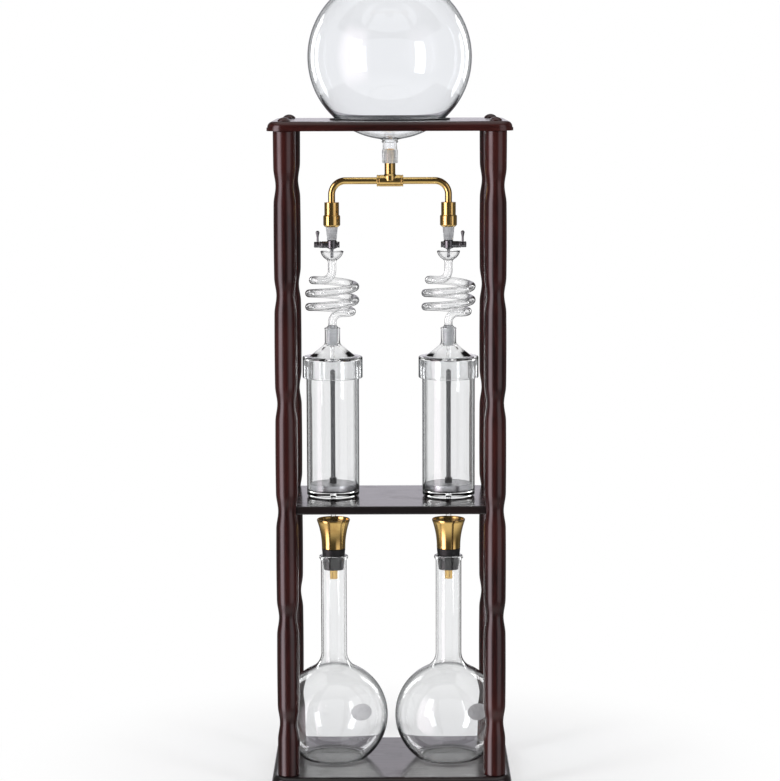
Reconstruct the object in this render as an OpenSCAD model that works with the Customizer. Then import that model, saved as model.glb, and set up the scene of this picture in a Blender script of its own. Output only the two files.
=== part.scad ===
// Two-column cold drip coffee tower: a turned wooden frame carries a water globe, a brass manifold with
// two drip valves, two glass spirals, two coffee columns on a shelf, and two flasks on the base board.

/* [Frame] */
// Gap between the two flask bulbs
bulb_gap = 10; // [6:1:40]
// Room between a bulb and each post that it slides out between
bulb_side_gap = 0.75; // [0.5:0.25:6]
// Distance from the axis of a glass stack to the centres of its outer posts, left to right
stack_to_post = 57; // [52:1:80]
// Thickness of the base board
base_t = 16; // [14:1:24]
// Thickness of the top board
top_t = 12; // [11:1:20]
// Thickness of the middle shelf
shelf_t = 10.5; // [8:0.5:16]
// How far the base and top boards reach past the post centres
board_over = 22; // [20:1:32]
// Radius of the rounded moulding along the board edges
edge_round = 7.5; // [4:0.5:9]
// Small step under the rounded moulding
edge_step = 1; // [0.5:0.5:2]
// Rounding of the shelf's edges
shelf_round = 2; // [1:0.5:3.5]
// Diameter of a rubber pad
pad_d = 26; // [20:1:34]
// Height of a rubber pad
pad_h = 4; // [3:0.5:8]

/* [Posts] */
// Diameter of a post at its widest
post_d = 28.5; // [25:0.5:34]
// Diameter of a post at a waist
waist_d = 22.6; // [20:0.2:24]
// How far the shoulders of a waist reach above and below it
waist_half = 23; // [18:1:30]
// How much the wide stretches narrow towards a waist
barrel_cut = 0.6; // [0.2:0.1:1]
// Diameter of the dowels that hold the shelf to the posts
dowel_d = 5; // [4:0.5:6]
// Length of a dowel
dowel_len = 20; // [16:1:26]
// How far a dowel enters its post
dowel_in = 6; // [4:0.5:7]

/* [Tie rods] */
// Diameter of the tie rod inside each post
rod_d = 6; // [5:0.5:8]
// Room round a tie rod in its bore
rod_gap = 0.3; // [0.1:0.1:0.6]
// Width of a nut across its flats
nut_flats = 10; // [9:0.5:11]
// Height of a nut
nut_h = 4; // [3:0.5:5]
// Diameter of a washer
washer_d = 12; // [11:0.5:13]
// Thickness of a washer
washer_t = 1.2; // [1:0.2:1.6]
// Diameter of the sunk hole for a nut and its washer
sink_d = 13; // [13:0.5:15]
// Diameter of the domed button over each post
button_d = 16.4; // [16:0.2:20]
// Height of the button
button_h = 5; // [4:0.5:7]
// How deep the button's plug goes into the sunk hole
button_plug = 1.6; // [1:0.2:2]

/* [Water globe] */
// Outside diameter of the globe
globe_d = 210; // [190:1:230]
// Thickness of the globe's glass
globe_wall = 3; // [2:0.5:4]
// Clear width of the globe's mouth
mouth_d = 104; // [80:1:120]
// Height of the collar round the mouth
collar_h = 5; // [3:0.5:10]
// Diameter of the circle on which the globe rests
seat_d = 142; // [120:1:150]
// Thickness of the seat ring
seat_t = 3; // [2:0.5:4]
// Height of the seat ring inside the board's opening
seat_band_h = 9.6; // [6:0.2:10.6]
// Height of the seat ring's flange above the top board
seat_up = 1.6; // [1:0.2:3]
// Width of the seat ring's flange
seat_flange = 3; // [2:0.5:5]
// Diameter of the neck under the globe
neck_d = 18; // [17:0.5:22]
// Length of the neck, measured from the bottom of the sphere
neck_len = 30; // [26:1:40]
// Outside diameter of the socket at the end of the neck
socket_d = 20; // [19:0.5:24]
// Length of the socket
socket_len = 17; // [14:1:20]
// Thickness of the small glass ring at the root of the neck
neck_ring_t = 3; // [2:0.5:4]
// Diameter of the lid
lid_d = 116; // [112:1:134]
// Thickness of the lid's glass
lid_t = 3; // [2:0.5:4]
// Height of the lid's dome
lid_dome = 12; // [8:1:18]
// Diameter of the lid's knob
knob_d = 22; // [18:1:28]

/* [Brass manifold] */
// Large diameter of the ground taper that plugs into the globe
taper_d = 14; // [12:0.5:15]
// Radius lost per millimetre of a ground taper
taper_rate = 0.05; // [0.04:0.005:0.06]
// Visible length of the plug between the tee and the globe's socket
plug_gap = 15; // [10:1:24]
// Diameter of the tee's body
tee_d = 15; // [13:0.5:18]
// Length of the tee's body
tee_len = 34; // [28:1:44]
// How deep an arm goes into the tee
arm_in = 9; // [6:1:12]
// Diameter of the arm tubes
arm_d = 9; // [7:0.5:10]
// Wall thickness of the arm tubes
arm_wall = 1.2; // [1:0.1:1.6]
// Bend radius of the arms
arm_bend = 17.5; // [14:0.5:24]
// Shortest straight leg below a bend
leg_len = 10; // [6:1:30]
// Diameter of the sleeve at the end of an arm
sleeve_d = 18.8; // [16:0.2:21]
// Length of the sleeve above its collar
sleeve_len = 16.5; // [12:0.5:22]
// How deep a leg goes into its sleeve
leg_in = 10; // [6:1:12]
// Diameter of the sleeve's collar
sleeve_collar_d = 21.8; // [20:0.2:26]
// Height of the sleeve's collar
sleeve_collar_h = 15; // [12:0.5:20]
// Chamfer under the collar
sleeve_chamfer = 2.2; // [1:0.2:3]

/* [Valves] */
// Large diameter of the frosted cone under the sleeve
cone_d = 15.4; // [14:0.2:16]
// Small diameter of the frosted cone
cone_tip_d = 12.2; // [11:0.2:13]
// Visible length of the frosted cone
cone_len = 17; // [12:0.5:24]
// How deep the cone's plug goes into the collar
cone_in = 10; // [6:1:12]
// Diameter of the upright part of the valve
valve_d = 12.4; // [10:0.2:13]
// Height of the valve's upright part above the key
valve_up = 6; // [5:0.5:9]
// Diameter of the spigot that holds the valve in the cone
spigot_d = 5; // [4:0.5:6]
// Diameter of the barrel round the key
barrel_d = 8.6; // [8:0.2:10]
// How far the barrel reaches inboard of the valve's axis
barrel_in = 7; // [7:0.5:14]
// How far the barrel reaches outboard of the valve's axis
barrel_out = 16; // [12:0.5:20]
// Diameter of the turning key
key_d = 5.6; // [5:0.2:6]
// Diameter of the key's ends, which carry the lever and the nut
key_stub_d = 4.6; // [3.6:0.2:4.8]
// Diameter of the drip passage
drip_bore = 2; // [1.5:0.5:3]
// How far the key reaches out of the barrel
key_out = 7; // [6:0.5:10]
// Diameter of the lever's boss and of the key's head
lever_boss_d = 7.6; // [7:0.2:9]
// Width of the lever's boss along the key
lever_boss_w = 4; // [3:0.5:5]
// Length of the lever from the key's axis
lever_len = 18; // [14:1:24]
// Diameter of the lever's stem
lever_stem_d = 2.7; // [2.2:0.1:3.4]
// Diameter of the lever's tip
lever_tip_d = 5; // [4:0.5:7]
// Diameter of the retaining nut on the inboard end
key_nut_d = 8; // [7:0.2:9]
// Width of the retaining nut
key_nut_w = 2.5; // [2:0.5:4]
// Diameter of the spout
spout_d = 4; // [3.6:0.2:5]
// Distance from the key's axis down to the spout's tip
spout_reach = 17; // [14:1:22]
// How far the spout reaches into the drip cup
spout_dip = 9; // [4:0.5:10]

/* [Glass spirals] */
// Diameter of the glass tube
tube_d = 10.5; // [8:0.5:11]
// Wall thickness of the glass tube
tube_wall = 1.6; // [1:0.1:2]
// Diameter of the coil along the middle of the tube
coil_d = 59.5; // [44:0.5:70]
// Drop of the coil in one turn
coil_pitch = 17.5; // [14:0.5:20]
// Number of turns from where the tube leaves the middle to where it comes back
coil_turns = 2.5; // [1.5:1:3.5]
// Bend radius where the tube leaves the middle and joins the coil
join_r = 12; // [9:0.5:13]
// Straight tube under the cup
stem_len = 13; // [6:1:24]
// Straight tube above the ground joint
foot_len = 7; // [4:1:16]
// Diameter of the drip cup
cup_d = 30; // [29:0.5:36]
// Depth of the drip cup
cup_h = 13; // [12:0.5:14]
// Wall thickness of the cup
cup_wall = 1.8; // [1.2:0.1:2.4]
// Large diameter of the ground taper in the column cap
foot_taper_d = 16; // [14:0.5:17]
// Length of the drip tip under the ground joint
tip_len = 15; // [8:1:20]

/* [Column caps] */
// Outside diameter of the cap's neck
cap_neck_d = 19.6; // [18.6:0.2:24]
// Height of the cap's neck
cap_neck_h = 24; // [18:1:30]
// Height of the cap from the column's rim to the top of its neck
cap_rise = 40; // [34:1:50]
// Width of the flat shoulder round the foot of the cap's cone
cap_shoulder = 9; // [5:0.5:12]
// Length of the skirt outside the column
skirt_h = 25; // [15:1:40]
// Room between the skirt and the column
skirt_gap = 1.8; // [0.5:0.1:3]
// Thickness of the cap's glass
cap_wall = 3; // [2:0.5:4]

/* [Coffee columns] */
// Outside diameter of a column
column_d = 68; // [56:1:76]
// Height of a column
column_h = 180; // [150:1:240]
// Thickness of a column's glass
column_wall = 3; // [2:0.5:4]
// Thickness of a column's floor
column_floor = 8; // [5:0.5:10]
// Rounding of a column's foot
column_round = 4; // [2:0.5:4.5]
// Diameter of the outlet tube under a column
outlet_d = 12; // [10:0.5:14]
// Clear width of the outlet tube
outlet_bore = 5; // [4:0.5:6]
// Wall thickness at the outlet's tip
outlet_tip_wall = 1; // [0.8:0.1:1.8]
// Room round the outlet tube in the shelf
outlet_gap = 0.6; // [0.3:0.1:1.5]
// Gap between the outlet's tip and the funnel's rim
outlet_clear = 4; // [2:0.5:8]
// Shortest outlet under the shelf
outlet_drop = 10; // [6:1:20]

/* [Filters] */
// Height of the filter pan
pan_h = 9; // [7:0.5:14]
// Wall thickness of the filter pan
pan_wall = 1; // [0.8:0.1:1.5]
// Room between the pan and the column
pan_gap = 0.6; // [0.3:0.1:1.5]
// Diameter of a drain hole in the pan
drain_d = 4; // [3:0.5:4.5]
// Thickness of the mesh disc
mesh_t = 0.8; // [0.5:0.1:1.2]
// Width of the ledge under the mesh disc
mesh_ledge = 2; // [1.5:0.5:3]
// Diameter of the clamp nut on the mesh
hub_d = 9.6; // [9:0.2:14]
// Height of the clamp nut
hub_h = 7.5; // [5:0.5:10]
// Diameter of the filter's rod
filter_rod_d = 6; // [5:0.2:7]
// Diameter of the rod's stud through the mesh and the pan
filter_stud_d = 4; // [3:0.2:4.8]
// Length of the rod above the mesh
filter_rod_len = 150; // [110:1:160]
// Diameter of the grip at the top of the rod
grip_d = 6.6; // [6.2:0.2:9]
// Length of the grip
grip_len = 20; // [14:1:30]

/* [Funnels and flasks] */
// Diameter of the funnel's rim
funnel_d = 43; // [38:1:56]
// Height of the funnel above the stopper
funnel_h = 39; // [30:1:48]
// Height of the funnel's straight foot and rim bands
funnel_band = 2; // [1:0.5:3]
// Wall thickness at the funnel's rim
funnel_wall = 1.4; // [1:0.1:2]
// Diameter of the funnel's stem
stem_d = 10; // [8:0.5:12]
// Clear width of the stem
stem_bore = 6; // [4:0.5:6]
// How far the stem reaches below the stopper
stem_below = 12; // [6:1:20]
// Height of the stopper above the flask's lip
stopper_up = 9; // [6:0.5:12]
// How deep the stopper goes into the flask
stopper_in = 18.5; // [12:0.5:24]
// Radius lost per millimetre of the stopper's taper
stopper_rate = 0.1; // [0.06:0.01:0.14]
// Outside diameter of a flask's bulb
bulb_d = 140; // [120:1:160]
// Height of a flask
flask_h = 270; // [250:1:290]
// Diameter of the flat that a flask stands on
flask_foot_d = 81; // [64:1:96]
// Outside diameter of a flask's neck
flask_neck_d = 33.6; // [30:0.2:40]
// Radius of the sweep from a bulb into its neck
flask_sweep = 22; // [14:1:30]
// Thickness of a flask's glass
flask_wall = 2.3; // [1.5:0.1:3]
// Diameter of a flask's lip
lip_d = 37.6; // [35.6:0.2:46]
// Height of a flask's lip
lip_h = 5; // [3:0.5:8]

/* [Fits] */
// Radial room in glued, ground and pressed fits
fit_gap = 0.05; // [0.02:0.01:0.1]
// Room kept between a movable piece and its seat
rest_gap = 0.3; // [0.2:0.05:0.4]

/* [Hidden] */

left = -1;
right = 1;
front = -1;
back = 1;
$fn = 72;
// How far a cutting shape runs past the face that it cuts
over = 1;

// Colours
mahogany = [0.30, 0.09, 0.06];
dark_wood = [0.11, 0.08, 0.08];
clear_glass = [0.82, 0.88, 0.90, 0.45];
frosted_glass = [0.80, 0.80, 0.86];
polished_brass = [0.83, 0.65, 0.32];
steel_grey = [0.52, 0.53, 0.55];
black_rubber = [0.07, 0.07, 0.08];

// Plan of the frame
stack_x = (bulb_d + bulb_gap) / 2;
post_x = stack_x + stack_to_post;
post_y = (bulb_d + post_d) / 2 + bulb_side_gap;
post_modules = 6;
shelf_modules = 2.5;

// Sizes that follow from a piece by itself
globe_r = globe_d / 2;
seat_r = seat_d / 2;
globe_up = seat_up + sqrt(pow(globe_r + rest_gap, 2) - seat_r * seat_r);
mouth_r = mouth_d / 2;
mouth_up = sqrt(globe_r * globe_r - pow(mouth_r + globe_wall, 2)) + collar_h;
globe_to_tee = globe_r + neck_len + plug_gap + tee_d / 2;
bend_x = stack_x - arm_bend;
bulb_z = sqrt(bulb_d * bulb_d - flask_foot_d * flask_foot_d) / 2;
sleeve_h = sleeve_len + sleeve_collar_h;
cup_ball_r = (cup_d * cup_d / 4 + cup_h * cup_h) / (2 * cup_h);
coil_r = coil_d / 2;
join_angle = asin(join_r / (coil_r - join_r));
join_turn = 90 + join_angle;
join_drop = coil_pitch / (2 * PI * coil_r) * join_r * join_turn * PI / 360;
wound_turns = coil_turns - join_angle / 180;
spiral_rise = cup_h + stem_len + foot_len + 2 * (join_r + join_drop) + coil_pitch * wound_turns;
pan_r = column_d / 2 - column_wall - pan_gap;
cone_plug_r = cone_d / 2;
flask_bore_r = flask_neck_d / 2 - flask_wall;
stopper_top_r = flask_bore_r - fit_gap + stopper_rate * stopper_up;
nut_sink = washer_t + nut_h + button_plug + rest_gap;

// Heights of the lower bay, measured from the base board's top
flask_z = rest_gap;
lip_z = flask_z + flask_h;
funnel_z = lip_z + stopper_up;
funnel_rim_z = funnel_z + funnel_h;
outlet_tip_z = funnel_rim_z + outlet_clear;
lower_need = outlet_tip_z + outlet_drop + shelf_t / 2;

// Heights of the upper bay, measured from the middle of the shelf
column_up = shelf_t / 2;
rim_up = column_up + column_h;
cap_top_up = rim_up + cap_rise;
cup_rim_up = cap_top_up + spiral_rise;
spout_up = cup_rim_up - spout_dip;
key_up = spout_up + spout_reach;
cone_up = key_up + valve_up;
sleeve_up = cone_up + cone_len;
leg_up = sleeve_up + sleeve_h;
upper_need = leg_up + leg_len + arm_bend + globe_to_tee - globe_up - top_t;

// One turned module of a post is as tall as the fuller of the two bays needs
module_h = max(upper_need / (post_modules - shelf_modules), lower_need / shelf_modules);
post_h = post_modules * module_h;

// Heights above the table
base_top = pad_h + base_t;
shelf_z = base_top + shelf_modules * module_h;
shelf_top = shelf_z + shelf_t / 2;
shelf_bottom = shelf_z - shelf_t / 2;
board_z = base_top + post_h;
board_top = board_z + top_t;
globe_z = board_top + globe_up;
tee_z = globe_z - globe_to_tee;
bend_z = tee_z - arm_bend;
rim_z = shelf_z + rim_up;
cap_top_z = shelf_z + cap_top_up;
cup_rim_z = shelf_z + cup_rim_up;
spout_z = shelf_z + spout_up;
key_z = shelf_z + key_up;
cone_z = shelf_z + cone_up;
sleeve_z = shelf_z + sleeve_up;
leg_z = shelf_z + leg_up;

// ---- shared shapes ----

// A tube or disc with a hole, standing on z
module ring(outer_d, inner_d, h, z = 0) {
    translate([0, 0, z])
    difference() {
        cylinder(d = outer_d, h = h);
        translate([0, 0, -over]) cylinder(d = inner_d, h = h + 2 * over);
    }
}

// Children copied to all four posts
module at_posts() {
    for (x = [left, right], y = [front, back])
        translate([x * post_x, y * post_y, 0]) children();
}

// Children moved to the glass stack on one side
module at_stack(side) {
    translate([side * stack_x, 0, 0]) children();
}

// Children turned so that +X points away from the middle of the tower
module outward(side) {
    rotate(side == left ? 180 : 0) children();
}

// Outline of a board's moulded edge, from its middle line out to the corner radius
module edge_outline(t) {
    foot_h = t - edge_round - edge_step / 2;
    arc_x = board_over - edge_step - edge_round;
    square([board_over, foot_h]);
    square([arc_x, t]);
    intersection() {
        translate([arc_x, t - edge_round]) circle(edge_round);
        square([board_over, t]);
    }
}

// A board that covers all the posts, with a moulded edge all round
module moulded_board(t) {
    translate([-post_x, -post_y, 0]) cube([2 * post_x, 2 * post_y, t]);
    for (turn = [0, 180]) rotate(turn) {
        translate([-post_x, post_y, 0]) rotate([90, 0, 90])
            linear_extrude(2 * post_x) edge_outline(t);
        translate([post_x, post_y, 0]) rotate([90, 0, 0])
            linear_extrude(2 * post_y) edge_outline(t);
        translate([post_x, post_y, 0]) rotate_extrude(angle = 90) edge_outline(t);
        translate([-post_x, post_y, 0]) rotate(90) rotate_extrude(angle = 90) edge_outline(t);
    }
}

// ---- frame ----

module base_board() {
    color(dark_wood)
    difference() {
        translate([0, 0, pad_h]) moulded_board(base_t);
        at_posts() {
            translate([0, 0, pad_h - over]) cylinder(d = rod_d + 2 * rod_gap, h = base_t + 2 * over);
            translate([0, 0, pad_h - over]) cylinder(d = sink_d, h = nut_sink + over);
        }
    }
}

module base_pads() {
    color(black_rubber) at_posts() cylinder(d = pad_d, h = pad_h);
}

// Radius of a post at a height above its foot
function post_r(z) =
    let (from_waist = abs(z % module_h - module_h / 2),
         waist_cut = (post_d - waist_d) / 2 - barrel_cut,
         dip = from_waist < waist_half ? waist_cut * (1 + cos(180 * from_waist / waist_half)) / 2 : 0)
    post_d / 2 - barrel_cut * pow(1 - 2 * from_waist / module_h, 2) - dip;

// Heights within one module at which the outline has a point: few on the barrels, more on the waist
barrel_steps = 4;
waist_steps = 16;
barrel_len = module_h / 2 - waist_half;
module_stops = concat(
    [for (i = [0 : barrel_steps - 1]) i * barrel_len / barrel_steps],
    [for (i = [0 : waist_steps]) barrel_len + i * 2 * waist_half / waist_steps],
    [for (i = [1 : barrel_steps - 1]) barrel_len + 2 * waist_half + i * barrel_len / barrel_steps]
);
post_outline = concat(
    [for (m = [0 : post_modules - 1]) for (z = module_stops) [post_r(z), m * module_h + z]],
    [[post_r(0), post_h], [rod_d / 2 + rod_gap, post_h], [rod_d / 2 + rod_gap, 0]]
);

// A dowel's hole or body, lying from inside a post towards the middle of the shelf
module dowel_at(x, y, d) {
    translate([x * post_x, y * post_y, shelf_z])
        rotate([0, 0, atan2(-y, -x)])
            translate([waist_d / 2 - dowel_in, 0, 0])
                rotate([0, 90, 0]) cylinder(d = d, h = dowel_len);
}

module post(x, y) {
    color(mahogany)
    difference() {
        translate([x * post_x, y * post_y, base_top]) rotate_extrude() polygon(post_outline);
        dowel_at(x, y, dowel_d + 2 * fit_gap);
    }
}

// A bar's cross-section with rounded edges
module rounded_section(w, h) {
    inner_w = w - 2 * shelf_round;
    inner_h = h - 2 * shelf_round;
    square([w, inner_h], center = true);
    square([inner_w, h], center = true);
    for (x = [-1, 1], y = [-1, 1])
        translate([x * inner_w / 2, y * inner_h / 2]) circle(shelf_round);
}

module middle_shelf() {
    notch_r = post_r(module_h / 2 - shelf_t / 2) + fit_gap;
    color(dark_wood)
    difference() {
        translate([0, 0, shelf_z])
        intersection() {
            rotate([90, 0, 90]) linear_extrude(2 * post_x, center = true) rounded_section(2 * post_y, shelf_t);
            rotate([90, 0, 0]) linear_extrude(2 * post_y, center = true) rounded_section(2 * post_x, shelf_t);
        }
        at_posts() translate([0, 0, shelf_bottom - over]) cylinder(r = notch_r, h = shelf_t + 2 * over);
        for (side = [left, right]) at_stack(side)
            translate([0, 0, shelf_bottom - over])
                cylinder(d = outlet_d + 2 * outlet_gap, h = shelf_t + 2 * over);
        for (x = [left, right], y = [front, back]) dowel_at(x, y, dowel_d + 2 * fit_gap);
    }
}

module shelf_dowels() {
    color(steel_grey)
    for (x = [left, right], y = [front, back]) dowel_at(x, y, dowel_d);
}

module top_board() {
    color(mahogany)
    difference() {
        translate([0, 0, board_z]) moulded_board(top_t);
        translate([0, 0, board_z - over]) cylinder(r = seat_r + seat_t + fit_gap, h = top_t + 2 * over);
        at_posts() {
            translate([0, 0, board_z - over]) cylinder(d = rod_d + 2 * rod_gap, h = top_t + 2 * over);
            translate([0, 0, board_top - nut_sink]) cylinder(d = sink_d, h = nut_sink + over);
        }
    }
}

// ---- tie rods and their covers ----

rod_bottom_z = pad_h + rest_gap;
rod_top_z = board_top - button_plug - rest_gap;

module tie_rods() {
    color(steel_grey) at_posts()
        translate([0, 0, rod_bottom_z]) cylinder(d = rod_d, h = rod_top_z - rod_bottom_z);
}

module rod_washers() {
    color(steel_grey) at_posts() {
        ring(washer_d, rod_d + 2 * fit_gap, washer_t, pad_h + nut_sink - washer_t);
        ring(washer_d, rod_d + 2 * fit_gap, washer_t, board_top - nut_sink);
    }
}

// A hexagonal nut round a tie rod
module rod_nut(z) {
    six_sides = 6;
    translate([0, 0, z])
    difference() {
        cylinder(d = nut_flats / cos(180 / six_sides), h = nut_h, $fn = six_sides);
        translate([0, 0, -over]) cylinder(d = rod_d + 2 * fit_gap, h = nut_h + 2 * over);
    }
}

module rod_nuts_top() {
    color(steel_grey) at_posts() rod_nut(board_top - nut_sink + washer_t);
}

module rod_nuts_bottom() {
    color(steel_grey) at_posts() rod_nut(pad_h + nut_sink - washer_t - nut_h);
}

// A domed button whose plug fills the mouth of the sunk hole
module post_buttons() {
    dome_r = (button_d * button_d / 4 + button_h * button_h) / (2 * button_h);
    color(mahogany) at_posts()
    translate([0, 0, board_top]) {
        intersection() {
            translate([0, 0, button_h - dome_r]) sphere(dome_r);
            cylinder(d = button_d, h = button_h);
        }
        translate([0, 0, -button_plug]) cylinder(d = sink_d - 2 * fit_gap, h = button_plug + over);
    }
}

// ---- water globe ----

module globe_seat_ring() {
    color(black_rubber)
    translate([0, 0, board_top])
    rotate_extrude() {
        translate([seat_r, -seat_band_h]) square([seat_t, seat_band_h + seat_up]);
        translate([seat_r, 0]) square([seat_t + seat_flange, seat_up]);
    }
}

// Half outline of the globe's outside, measured from the sphere's centre
module globe_outside() {
    intersection() {
        circle(globe_r, $fn = 144);
        translate([0, -globe_r]) square([globe_r, globe_r + mouth_up - collar_h]);
    }
    translate([0, mouth_up - 2 * collar_h]) square([mouth_r + globe_wall, 2 * collar_h - globe_wall / 2]);
    translate([mouth_r + globe_wall, mouth_up - globe_wall / 2]) circle(globe_wall / 2);
    translate([mouth_r, mouth_up - globe_wall]) square([globe_wall, globe_wall]);
    translate([0, -globe_r - neck_len]) square([neck_d / 2, neck_len + globe_wall]);
    translate([0, -globe_r - neck_len]) square([socket_d / 2, socket_len]);
    translate([neck_d / 2, -globe_r - neck_ring_t / 2]) circle(neck_ring_t / 2);
}

module water_globe() {
    inner_r = globe_r - globe_wall;
    bore_r = taper_d / 2 - taper_rate * socket_len;
    color(clear_glass)
    translate([0, 0, globe_z])
    rotate_extrude($fn = 144)
    difference() {
        globe_outside();
        intersection() {
            circle(inner_r, $fn = 144);
            translate([0, -inner_r]) square([inner_r, 2 * inner_r]);
        }
        translate([0, mouth_up - 3 * collar_h]) square([mouth_r, 3 * collar_h + over]);
        polygon([
            [0, -inner_r + globe_wall], [bore_r, -inner_r + globe_wall],
            [bore_r, -globe_r - neck_len + socket_len], [taper_d / 2, -globe_r - neck_len],
            [taper_d / 2, -globe_r - neck_len - over], [0, -globe_r - neck_len - over]
        ]);
    }
}

module globe_lid() {
    rim_r = lid_d / 2;
    dome_edge_r = mouth_r - 2 * lid_t;
    dome_r = (dome_edge_r * dome_edge_r + lid_dome * lid_dome) / (2 * lid_dome);
    knob_r = knob_d / 2;
    knob_z = lid_t + lid_dome + knob_r;
    color(clear_glass)
    translate([0, 0, globe_z + mouth_up + rest_gap])
    rotate_extrude() {
        // Flat rim, with the locating ring that drops into the mouth
        translate([dome_edge_r, 0]) square([rim_r - dome_edge_r, lid_t]);
        translate([dome_edge_r, -2 * lid_t]) square([lid_t, 2 * lid_t]);
        // Dome of even thickness
        intersection() {
            difference() {
                translate([0, lid_t + lid_dome - dome_r]) circle(dome_r, $fn = 144);
                translate([0, lid_dome - dome_r]) circle(dome_r, $fn = 144);
            }
            square([dome_edge_r + lid_t / 2, lid_t + lid_dome]);
        }
        // Knob on its stem
        translate([0, lid_t / 2 + lid_dome]) square([knob_r / 2, knob_r]);
        intersection() {
            translate([0, knob_z]) circle(knob_r);
            translate([0, knob_z - knob_r]) square([knob_r, 2 * knob_r]);
        }
    }
}

// ---- brass manifold ----

module manifold_tee() {
    plug_top_r = taper_d / 2 - taper_rate * socket_len - fit_gap;
    plug_root = tee_d / 2 + plug_gap;
    bore_d = arm_d - 2 * arm_wall;
    color(polished_brass)
    translate([0, 0, tee_z])
    difference() {
        union() {
            rotate([0, 90, 0]) cylinder(d = tee_d, h = tee_len, center = true);
            cylinder(r = taper_d / 2 - fit_gap, h = plug_root);
            translate([0, 0, plug_root]) cylinder(r1 = taper_d / 2 - fit_gap, r2 = plug_top_r, h = socket_len);
        }
        cylinder(d = bore_d, h = plug_root + socket_len + over);
        rotate([0, 90, 0]) cylinder(d = bore_d, h = tee_len + 2 * over, center = true);
        for (side = [left, right]) outward(side)
            rotate([0, 90, 0])
                translate([0, 0, tee_len / 2 - arm_in])
                    cylinder(d = arm_d + 2 * fit_gap, h = arm_in + over);
    }
}

module manifold_arm(side) {
    inner_d = arm_d - 2 * arm_wall;
    run_x = tee_len / 2 - arm_in;
    color(polished_brass)
    translate([0, 0, tee_z]) outward(side) {
        // Level run
        translate([run_x, 0, 0]) rotate([0, 90, 0]) ring(arm_d, inner_d, bend_x - run_x);
        // Bend
        translate([bend_x, 0, -arm_bend]) rotate([90, 0, 0])
            rotate_extrude(angle = 90)
                translate([arm_bend, 0]) difference() { circle(d = arm_d); circle(d = inner_d); }
        // Leg
        translate([stack_x, 0, -arm_bend]) rotate([180, 0, 0]) ring(arm_d, inner_d, bend_z - leg_z + leg_in);
    }
}

module arm_sleeve(side) {
    collar_r = sleeve_collar_d / 2;
    leg_r = arm_d / 2 + fit_gap;
    plug_r = cone_plug_r + fit_gap;
    color(polished_brass)
    at_stack(side) translate([0, 0, sleeve_z])
    rotate_extrude()
    difference() {
        polygon([
            [0, 0], [collar_r - sleeve_chamfer, 0], [collar_r, sleeve_chamfer], [collar_r, sleeve_collar_h],
            [sleeve_d / 2, sleeve_collar_h], [sleeve_d / 2, sleeve_h], [0, sleeve_h]
        ]);
        translate([0, -over]) square([plug_r, cone_in + over]);
        square([arm_d / 2 - arm_wall, sleeve_h]);
        translate([0, sleeve_h - leg_in]) square([leg_r, leg_in + over]);
    }
}

// ---- valves ----

module valve_cone(side) {
    color(frosted_glass)
    at_stack(side) translate([0, 0, cone_z])
    rotate_extrude()
    difference() {
        polygon([
            [0, 0], [cone_tip_d / 2, 0], [cone_plug_r, cone_len],
            [cone_plug_r, cone_len + cone_in], [0, cone_len + cone_in]
        ]);
        translate([0, -over]) square([spigot_d / 2 + fit_gap, cone_len + cone_in + 2 * over]);
    }
}

// Children placed at a valve's key, with +X pointing outboard
module at_key(side) {
    at_stack(side) translate([0, 0, key_z]) outward(side) children();
}

module valve_body(side) {
    shoulder_z = -barrel_d / 2;
    color(steel_grey)
    at_key(side)
    difference() {
        union() {
            translate([0, 0, shoulder_z]) cylinder(d = valve_d, h = valve_up - shoulder_z);
            translate([-barrel_in, 0, 0]) rotate([0, 90, 0]) cylinder(d = barrel_d, h = barrel_in + barrel_out);
            translate([0, 0, valve_up - over]) cylinder(d = spigot_d, h = cone_len / 2 + over);
            translate([0, 0, shoulder_z - spout_d / 2]) cylinder(d1 = spout_d, d2 = valve_d, h = spout_d / 2);
            translate([0, 0, -spout_reach]) cylinder(d = spout_d, h = spout_reach);
        }
        translate([0, 0, -spout_reach - over])
            cylinder(d = drip_bore, h = spout_reach + valve_up + cone_len + 2 * over);
        translate([-barrel_in - over, 0, 0]) rotate([0, 90, 0])
            cylinder(d = key_d + 2 * fit_gap, h = barrel_in + barrel_out + 2 * over);
    }
}

// Turning key with a cross hole; its inboard end carries the nut and its outboard end the lever
module valve_key(side) {
    head_x = barrel_out + rest_gap;
    color(steel_grey)
    at_key(side)
    difference() {
        rotate([0, 90, 0]) {
            translate([0, 0, -barrel_in]) cylinder(d = key_d, h = barrel_in + head_x);
            translate([0, 0, -barrel_in - key_nut_w - rest_gap])
                cylinder(d = key_stub_d, h = key_nut_w + rest_gap + over);
            translate([0, 0, head_x]) cylinder(d = key_stub_d, h = lever_boss_w + over);
            translate([0, 0, head_x + lever_boss_w])
                cylinder(d = lever_boss_d, h = key_out - rest_gap - lever_boss_w);
        }
        cylinder(d = drip_bore, h = key_d + 2 * over, center = true);
    }
}

module valve_lever(side) {
    boss_x = barrel_out + rest_gap;
    color(steel_grey)
    at_key(side)
    difference() {
        union() {
            translate([boss_x, 0, 0]) rotate([0, 90, 0]) cylinder(d = lever_boss_d, h = lever_boss_w);
            translate([boss_x + lever_boss_w / 2, 0, 0]) {
                cylinder(d = lever_stem_d, h = lever_len - lever_tip_d);
                translate([0, 0, lever_len - 2 * lever_tip_d])
                    cylinder(d1 = lever_stem_d, d2 = lever_tip_d, h = 1.5 * lever_tip_d);
                translate([0, 0, lever_len - lever_tip_d / 2]) sphere(d = lever_tip_d);
            }
        }
        translate([boss_x - over, 0, 0]) rotate([0, 90, 0])
            cylinder(d = key_stub_d + 2 * fit_gap, h = lever_boss_w + 2 * over);
    }
}

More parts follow.
